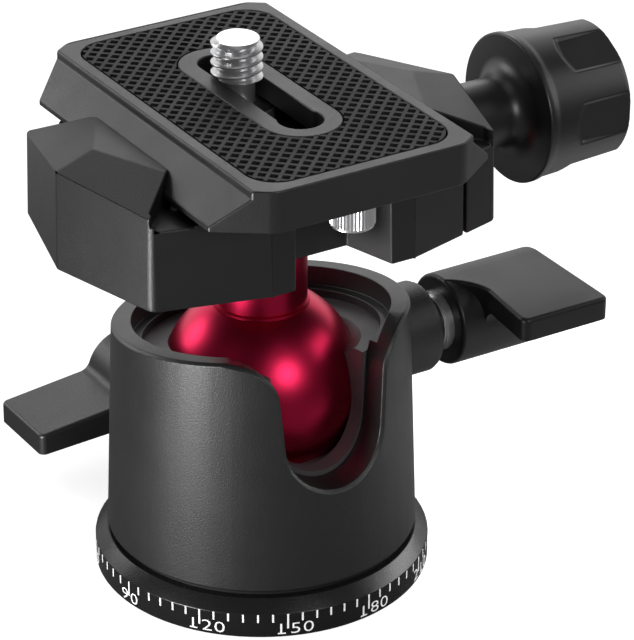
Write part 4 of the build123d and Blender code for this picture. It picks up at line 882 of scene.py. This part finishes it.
@dataclass
class QuickReleasePlate(SubAssembly):
    """Dovetail plate, ribbed pad, stop screws and camera screw.

    The pad has two sets of crossing diagonal ribs with sunk cells between them, and a
    round-ended hole for the plate's collar. A stop screw has square teeth, turned by 45 degrees,
    round its root. The camera screw's thread has a flat crest and a rounded root.
    """

    top: float = 63.55
    plate_edge: float = 0.2
    pad_half_width: float = 13.3
    pad_half_length: float = 23.15
    pad_corner: float = 4.0
    pad_corner_steps: int = 8
    pad_depth: float = 1.0
    pad_gap: float = 0.12
    collar_radius: float = 5.0
    collar_front: float = -9.3
    collar_back: float = 9.7
    collar_steps: int = 24
    rib_pitch: float = 1.421
    rib_width: float = 0.46
    rib_height: float = 0.32
    rib_draft: float = 0.05
    rib_centre: tuple[float, float] = (0.32, -0.04)
    stop_y: float = 20.9
    stop_radius: float = 2.7
    stop_bottom: float = 54.75
    stop_height: float = 3.5
    stop_teeth: int = 40
    stop_tooth_depth: float = 0.16
    stop_bevel: float = 0.3
    screw_y: float = 5.4
    screw_radius: float = 3.175
    screw_root: float = 2.42
    screw_pitch: float = 1.27
    screw_top: float = 68.55
    screw_bevel: float = 0.45
    shank_rise: float = 0.04
    thread_rise: float = 0.02
    thread_flat: float = 0.16
    thread_steps: int = 72
    crest_round: float = 0.06
    root_round: float = 0.1
    root_share: float = 0.9
    turns_below: float = 1.5
    spare_turns: int = 3

    def build(self) -> None:
        """Builds the pad, the knurled screws and the threaded screw."""
        self.dress({"screw_clip": SPRING})
        name, slot = "quick_release_plate", "black_anodised"
        self.rounded(name, "plate", slot, PLATE_BLACK, self.plate_edge, slivers=True)
        self.keep(self.pad(), "plate", "pad_rubber", RUBBER, "plate_pad")
        for name, y in (("stop_screw_front", -self.stop_y), ("stop_screw_back", self.stop_y)):
            self.keep(self.stop_screw(name, y), "plate", "knurled_steel", KNURLED, name)
        self.keep(self.camera_screw(), "camera_screw", "bright_steel", STEEL, "camera_screw")

    def pad(self) -> Piece:
        """Pad with raised diagonal ribs, cut round the collar.

        Returns:
            The pad piece.
        """
        mesh = bmesh.new()
        half_x = self.pad_half_width - self.pad_gap
        half_y = self.pad_half_length - self.pad_gap
        made = bmesh.ops.create_grid(mesh, x_segments=1, y_segments=1, size=1.0)["verts"]
        bmesh.ops.scale(mesh, vec=(half_x, half_y, 1), verts=made)
        bmesh.ops.bevel(
            mesh,
            geom=mesh.verts[:],
            offset=self.pad_corner,
            offset_type="OFFSET",
            segments=self.pad_corner_steps,
            profile=0.5,
            affect="VERTICES",
            material=-1,
        )
        self.cut_ribs(mesh)
        self.cut_collar(mesh)
        bmesh.ops.translate(mesh, vec=(0, 0, self.top), verts=mesh.verts[:])
        cells = [face for face in mesh.faces if self.in_cell(face.calc_center_median())]
        bmesh.ops.inset_individual(
            mesh, faces=cells, thickness=self.rib_draft, depth=-self.rib_height
        )
        walls = bmesh.ops.extrude_edge_only(mesh, edges=open_edges(mesh))["geom"]
        for part in walls:
            if isinstance(part, bmesh.types.BMVert):
                part.co.z = self.top - self.pad_depth
        bottom = open_edges(mesh)
        bmesh.ops.triangle_fill(mesh, use_beauty=True, edges=bottom, normal=(0, 0, -1))
        return finish_mesh(mesh, "plate_pad_ribbed", sharp_degrees=20.0)

    def cut_ribs(self, mesh: Mesh) -> None:
        """Cuts the flat pad along both sides of every diagonal rib.

        Args:
            mesh: The flat pad.
        """
        reach = (self.pad_half_width + self.pad_half_length) / math.sqrt(2)
        count = int(reach / self.rib_pitch) + 1
        start = Vector((*self.rib_centre, 0))
        for normal in (Vector((1, 1, 0)).normalized(), Vector((1, -1, 0)).normalized()):
            for index in range(-count, count + 1):
                for side in (-1, 1):
                    away = (index + 0.5) * self.rib_pitch + side * self.rib_width / 2
                    cut(mesh, start + normal * away, normal)

    def cut_collar(self, mesh: Mesh) -> None:
        """Cuts the collar's outline in the flat pad and drops what lies inside.

        Args:
            mesh: The flat pad.
        """
        for centre, start in ((self.collar_back, 0.0), (self.collar_front, math.pi)):
            for index in range(self.collar_steps + 1):
                angle = start + math.pi * index / self.collar_steps
                self.split_near(mesh, Vector((math.cos(angle), math.sin(angle), 0)), centre)
        inside = [face for face in mesh.faces if self.in_hole(face.calc_center_median())]
        bmesh.ops.delete(mesh, geom=inside, context="FACES")

    def split_near(self, mesh: Mesh, normal: Vector, centre: float) -> None:
        """Cuts the faces near one tangent of the hole's round end.

        Args:
            mesh: The flat pad.
            normal: The tangent's outward normal.
            centre: The Y place of the round end's centre.
        """
        touch = Vector((0, centre, 0)) + normal * (self.collar_radius + self.pad_gap)
        tangent = Vector((-normal.y, normal.x, 0))
        straight = abs(normal.y) < STRAIGHT_SLACK
        reach = self.rib_pitch
        faces = []
        for face in mesh.faces:
            middle = face.calc_center_median()
            beside = straight and self.collar_front < middle.y < self.collar_back
            if abs((middle - touch).dot(normal)) < reach:
                if beside or abs((middle - touch).dot(tangent)) < reach:
                    faces.append(face)
        edges = list(dict.fromkeys(edge for face in faces for edge in face.edges))
        verts = list(dict.fromkeys(vert for face in faces for vert in face.verts))
        geom = verts + edges + faces
        bmesh.ops.bisect_plane(mesh, geom=geom, dist=CUT_MERGE, plane_co=touch, plane_no=normal)

    def in_hole(self, point: Vector) -> bool:
        """Tells whether a point lies inside the round-ended hole."""
        nearest = min(max(point.y, self.collar_front), self.collar_back)
        return math.hypot(point.x, point.y - nearest) < self.collar_radius + self.pad_gap

    def in_cell(self, point: Vector) -> bool:
        """Tells whether a point lies between the ribs.

        Args:
            point: The point.

        Returns:
            True between the ribs, False on one.
        """
        gap = (self.rib_pitch - self.rib_width) / 2
        x, y = point.x - self.rib_centre[0], point.y - self.rib_centre[1]
        for away in ((x + y) / math.sqrt(2), (x - y) / math.sqrt(2)):
            if abs((away + self.rib_pitch / 2) % self.rib_pitch - self.rib_pitch / 2) > gap:
                return False
        return True

    def stop_screw(self, name: str, y: float) -> Piece:
        """Straight-knurled cap screw with a hexagonal socket below.

        Args:
            name: Which of the two CAD nodes.
            y: The screw's place along Y.

        Returns:
            The screw piece.
        """
        mesh = copied(self.node(name))
        root = self.stop_radius - self.stop_tooth_depth
        for vert in mesh.verts:
            reach = math.hypot(vert.co.x, vert.co.y - y)
            if reach > root:
                vert.co.x *= root / reach
                vert.co.y = y + (vert.co.y - y) * root / reach
        width = self.stop_tooth_depth * math.sqrt(2)
        size = (width, width, self.stop_height - 2 * self.stop_bevel)
        middle = self.stop_bottom + self.stop_height / 2
        for index in range(self.stop_teeth):
            tooth = add_box(mesh, size, (0, 0, 0))
            turn_about_z(mesh, tooth, math.radians(45))
            bmesh.ops.translate(mesh, vec=(root, 0, middle), verts=tooth)
            turn_about_z(mesh, tooth, math.tau * index / self.stop_teeth)
            bmesh.ops.translate(mesh, vec=(0, y, 0), verts=tooth)
        return finish_mesh(mesh, f"{name}_knurled", sharp_degrees=30.0)

    def camera_screw(self) -> Piece:
        """Captive screw: slotted head and slim shank below, a real thread above.

        Returns:
            The screw piece.
        """
        mesh = copied(self.node("camera_screw"))
        cut(mesh, (0, 0, self.top + self.shank_rise), (0, 0, 1), drop=True)
        bmesh.ops.edgeloop_fill(mesh, edges=open_edges(mesh))
        add_mesh(mesh, self.thread(self.top + self.thread_rise))
        return finish_mesh(mesh, "camera_screw_threaded", sharp_degrees=40.0)

    def thread(self, start: float) -> Mesh:
        """Spins one thread section up a helix and trims it between the screw's ends.

        Args:
            start: The height of the thread's lower end.

        Returns:
            The thread's mesh.
        """
        mesh = bmesh.new()
        pitch, crest, root = self.screw_pitch, self.screw_radius, self.screw_root
        flat, blend = self.thread_flat, self.crest_round
        rise = (pitch - 2 * flat) / 2
        section = [
            (root, 0.0),
            (root + self.root_round, flat * self.root_share),
            (crest - blend, flat + rise - blend),
            (crest, flat + rise),
            (crest, 2 * flat + rise),
            (crest - blend, 2 * flat + rise + blend),
            (root + self.root_round, pitch - flat * (1 - self.root_share)),
        ]
        first = start - self.turns_below * pitch
        rows: list[bmesh.types.BMVert] = []
        for index in range(int((self.screw_top - start) / pitch) + self.spare_turns):
            low = first + index * pitch
            rows += [mesh.verts.new((radius, 0, low + place)) for radius, place in section]
        edges = [mesh.edges.new(pair) for pair in zip(rows, rows[1:])]
        bmesh.ops.spin(
            mesh,
            geom=rows + edges,
            cent=(0, 0, 0),
            axis=(0, 0, 1),
            dvec=(0, 0, pitch / self.thread_steps),
            angle=math.tau,
            steps=self.thread_steps,
            use_merge=False,
        )
        bmesh.ops.remove_doubles(mesh, verts=mesh.verts[:], dist=NEW_MERGE)
        cut(mesh, (0, 0, start), (0, 0, -1), drop=True)
        cut(mesh, (0, 0, self.screw_top), (0, 0, 1), drop=True)
        for vert in mesh.verts:
            reach = vert.co.xy.length
            allowed = crest - max(0.0, vert.co.z - (self.screw_top - self.screw_bevel))
            if reach > allowed:
                vert.co.xy *= allowed / reach
        for level in (start, self.screw_top):
            rim = [
                edge
                for edge in open_edges(mesh)
                if all(abs(vert.co.z - level) < LEVEL_SLACK for vert in edge.verts)
            ]
            bmesh.ops.edgeloop_fill(mesh, edges=rim)
        bmesh.ops.translate(mesh, vec=(0, self.screw_y, 0), verts=mesh.verts[:])
        return mesh


# ---- Studio ----


@dataclass(frozen=True)
class Panel:
    """A soft oval lamp that stands round the object and leans down towards it.

    azimuth and lean are in degrees, and bottom is the height of its lower edge.
    """

    name: str
    azimuth: float
    distance: float
    bottom: float
    width: float
    height: float
    lean: float
    radiance: float


@dataclass
class Studio:
    """Floor, world, lamps and camera.

    The backdrop is white behind the object and fades to front_level on the camera's side: the
    floor from fade_start to fade_end, and the sky from sky_start to sky_end, which are cosines
    of the angle from the backdrop's middle.
    """

    camera_place: Point = (-195.82, -330.65, 233.33)
    camera_right: Point = (0.85211, -0.52335, 0.00359)
    camera_up: Point = (0.23935, 0.39579, 0.88660)
    camera_back: Point = (-0.46543, -0.75462, 0.46252)
    lens: float = 198.16
    sensor_width: float = 36.0
    clip_start: float = 10.0
    clip_end: float = 20000.0
    view_azimuth: float = -31.665
    room_light: float = 0.4
    floor_half: float = 3000.0
    floor_roughness: float = 0.9
    floor_colour: float = 0.8
    floor_glow: float = 0.62
    gloss_tone: float = 0.18
    front_level: float = 0.05
    fade_start: float = 60.0
    fade_end: float = 170.0
    sky_start: float = 0.3
    sky_end: float = 0.85
    panels: tuple[Panel, ...] = (
        Panel("key_left", -46, 130, 0, 40, 42, 0, 41.0),
        Panel("front_high", 34, 190, 96, 82, 76, 30, 6.5),
        Panel("right", 98, 170, 60, 90, 110, 20, 1.7),
        Panel("back_left", -116, 240, 75, 100, 150, 18, 3.6),
        Panel("back", 180, 300, 160, 130, 120, 28, 1.8),
        Panel("top", 0, 0, 320, 220, 220, 89, 0.4),
        Panel("floor_wash_left", -45, 62, 28, 30, 50, 90, 2.0),
        Panel("floor_wash_right", 112, 80, 28, 50, 50, 90, 6.5),
        Panel("floor_wash_side", 85, 70, 28, 30, 50, 90, 6.5),
    )

    def build(self) -> None:
        """Makes the camera, the floor, the world and the lamps."""
        self.camera()
        self.floor()
        self.world()
        for panel in self.panels:
            self.lamp(panel)
        bpy.context.scene.view_settings.view_transform = "Standard"

    def camera(self) -> None:
        """Places the camera at the viewing angle."""
        data = bpy.data.cameras.new("camera")
        data.lens = self.lens
        data.sensor_width = self.sensor_width
        data.clip_start, data.clip_end = self.clip_start * MM, self.clip_end * MM
        camera = bpy.data.objects.new("camera", data)
        axes = (self.camera_right, self.camera_up, self.camera_back)
        turn = Matrix([Vector(axis).normalized() for axis in axes]).transposed().to_4x4()
        camera.matrix_world = Matrix.Translation(Vector(self.camera_place) * MM) @ turn
        bpy.context.scene.collection.objects.link(camera)
        bpy.context.scene.camera = camera

    def away(self, azimuth: float) -> Vector:
        """Level direction at an azimuth from the camera's side, counted to the right."""
        angle = math.radians(self.view_azimuth + azimuth)
        return Vector((math.sin(angle), -math.cos(angle), 0))

    def fade(self, tree: Tree, coordinate: str, start: float, end: float) -> Socket:
        """White behind the object, dim on the camera's side, where the room is.

        Args:
            tree: The node tree to add to.
            coordinate: The texture coordinate that is measured towards the backdrop.
            start: Where the room's dim level ends.
            end: Where the backdrop's white begins.

        Returns:
            The level's socket.
        """
        place = add(tree, "ShaderNodeTexCoord")
        depth = add(tree, "ShaderNodeVectorMath", operation="DOT_PRODUCT")
        depth.inputs[1].default_value = self.away(180)
        tree.links.new(place.outputs[coordinate], depth.inputs[0])
        level = add(
            tree,
            "ShaderNodeMapRange",
            interpolation_type="SMOOTHSTEP",
            From_Min=start,
            From_Max=end,
            To_Min=self.front_level,
            To_Max=1.0,
        )
        tree.links.new(depth.outputs["Value"], level.inputs["Value"])
        return level.outputs[0]

    def shown(self, tree: Tree, level: Socket) -> Socket:
        """How much of the backdrop's white a ray meets: all for the camera, the level for gloss.

        Args:
            tree: The node tree to add to.
            level: The level that glossy rays meet.

        Returns:
            The factor's socket, 0 for the rays that light the object.
        """
        rays = add(tree, "ShaderNodeLightPath").outputs
        direct = self.combined(tree, "ADD", rays["Is Camera Ray"], rays["Is Transmission Ray"])
        gloss = self.combined(tree, "MULTIPLY", rays["Is Glossy Ray"], level)
        return self.combined(tree, "MAXIMUM", direct, gloss)

    def combined(self, tree: Tree, operation: str, *values: Socket | float) -> Socket:
        """Combines two values by a Math node that stays between 0 and 1.

        Args:
            tree: The node tree to add to.
            operation: The node's operation.
            *values: Each value, as a socket or a constant.

        Returns:
            The result's socket.
        """
        node = add(tree, "ShaderNodeMath", operation=operation, use_clamp=True)
        for value, socket in zip(values, node.inputs):
            if isinstance(value, float):
                socket.default_value = value
            else:
                tree.links.new(value, socket)
        return node.outputs[0]

    def floor(self) -> None:
        """Makes a plain pale floor that stays white to the camera but keeps the shadow."""
        mesh = bmesh.new()
        bmesh.ops.create_grid(mesh, x_segments=1, y_segments=1, size=self.floor_half * MM)
        data = bpy.data.meshes.new("floor")
        mesh.to_mesh(data)
        mesh.free()
        floor = bpy.data.objects.new("floor", data)
        bpy.context.scene.collection.objects.link(floor)
        material = bpy.data.materials.new("pale_floor")
        material.use_nodes = True
        tree = material.node_tree
        shader = tree.nodes["Principled BSDF"]
        shader.inputs["Roughness"].default_value = self.floor_roughness
        shader.inputs["Specular IOR Level"].default_value = 0.0
        shader.inputs["Emission Color"].default_value = (1, 1, 1, 1)
        level = self.fade(tree, "Object", self.fade_start * MM, self.fade_end * MM)
        rays = add(tree, "ShaderNodeLightPath")
        tone = add(tree, "ShaderNodeMapRange", To_Min=1.0, To_Max=self.gloss_tone)
        tree.links.new(rays.outputs["Is Glossy Ray"], tone.inputs["Value"])
        paint = add(tree, "ShaderNodeVectorMath", operation="SCALE")
        paint.inputs[0].default_value = (self.floor_colour,) * 3
        tree.links.new(tone.outputs[0], paint.inputs["Scale"])
        tree.links.new(paint.outputs[0], shader.inputs["Base Color"])
        glow = self.combined(tree, "MULTIPLY", self.shown(tree, level), self.floor_glow)
        tree.links.new(glow, shader.inputs["Emission Strength"])
        data.materials.append(material)
        floor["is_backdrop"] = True

    def world(self) -> None:
        """White backdrop to the camera, a plain soft room to the object."""
        world = bpy.data.worlds.new("studio")
        world.use_nodes = True
        bpy.context.scene.world = world
        tree = world.node_tree
        background = tree.nodes["Background"]
        level = self.fade(tree, "Generated", self.sky_start, self.sky_end)
        diffuse = add(tree, "ShaderNodeLightPath").outputs["Is Diffuse Ray"]
        room = self.combined(tree, "MULTIPLY", diffuse, self.room_light)
        total = self.combined(tree, "MAXIMUM", self.shown(tree, level), room)
        tree.links.new(total, background.inputs["Strength"])
        background.inputs["Color"].default_value = (1, 1, 1, 1)

    def lamp(self, panel: Panel) -> None:
        """Stands one soft lamp round the object.

        Args:
            panel: The lamp's place, size and brightness.
        """
        lean = math.radians(panel.lean)
        away = self.away(panel.azimuth)
        place = away * panel.distance
        place.z = panel.bottom + math.cos(lean) * panel.height / 2
        data = bpy.data.lights.new(panel.name, "AREA")
        data.shape = "ELLIPSE"
        data.size, data.size_y = panel.width * MM, panel.height * MM
        area = math.pi / 4 * data.size * data.size_y
        data.energy = panel.radiance * math.pi * area
        lamp = bpy.data.objects.new(panel.name, data)
        lamp.location = place * MM
        facing = away * math.cos(lean)
        facing.z = math.sin(lean)
        lamp.rotation_mode = "QUATERNION"
        lamp.rotation_quaternion = facing.to_track_quat("Z", "Y")
        bpy.context.scene.collection.objects.link(lamp)


def main(frame: dict, cad_box: tuple[Vector, Vector]) -> None:
    """Builds the studio and every sub-assembly in order.

    Args:
        cad_box: The frame's box, from straight after loading; not used.
    """
    logging.basicConfig(level=logging.INFO, format="%(message)s")
    Studio().build()
    for kind in (PanningBase, Housing, BallAndNeck, Clamp, QuickReleasePlate):
        kind(frame).build()
        LOG.info("built %s", kind.__name__)


if __name__ == "__main__":
    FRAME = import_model()
    main(FRAME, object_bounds())
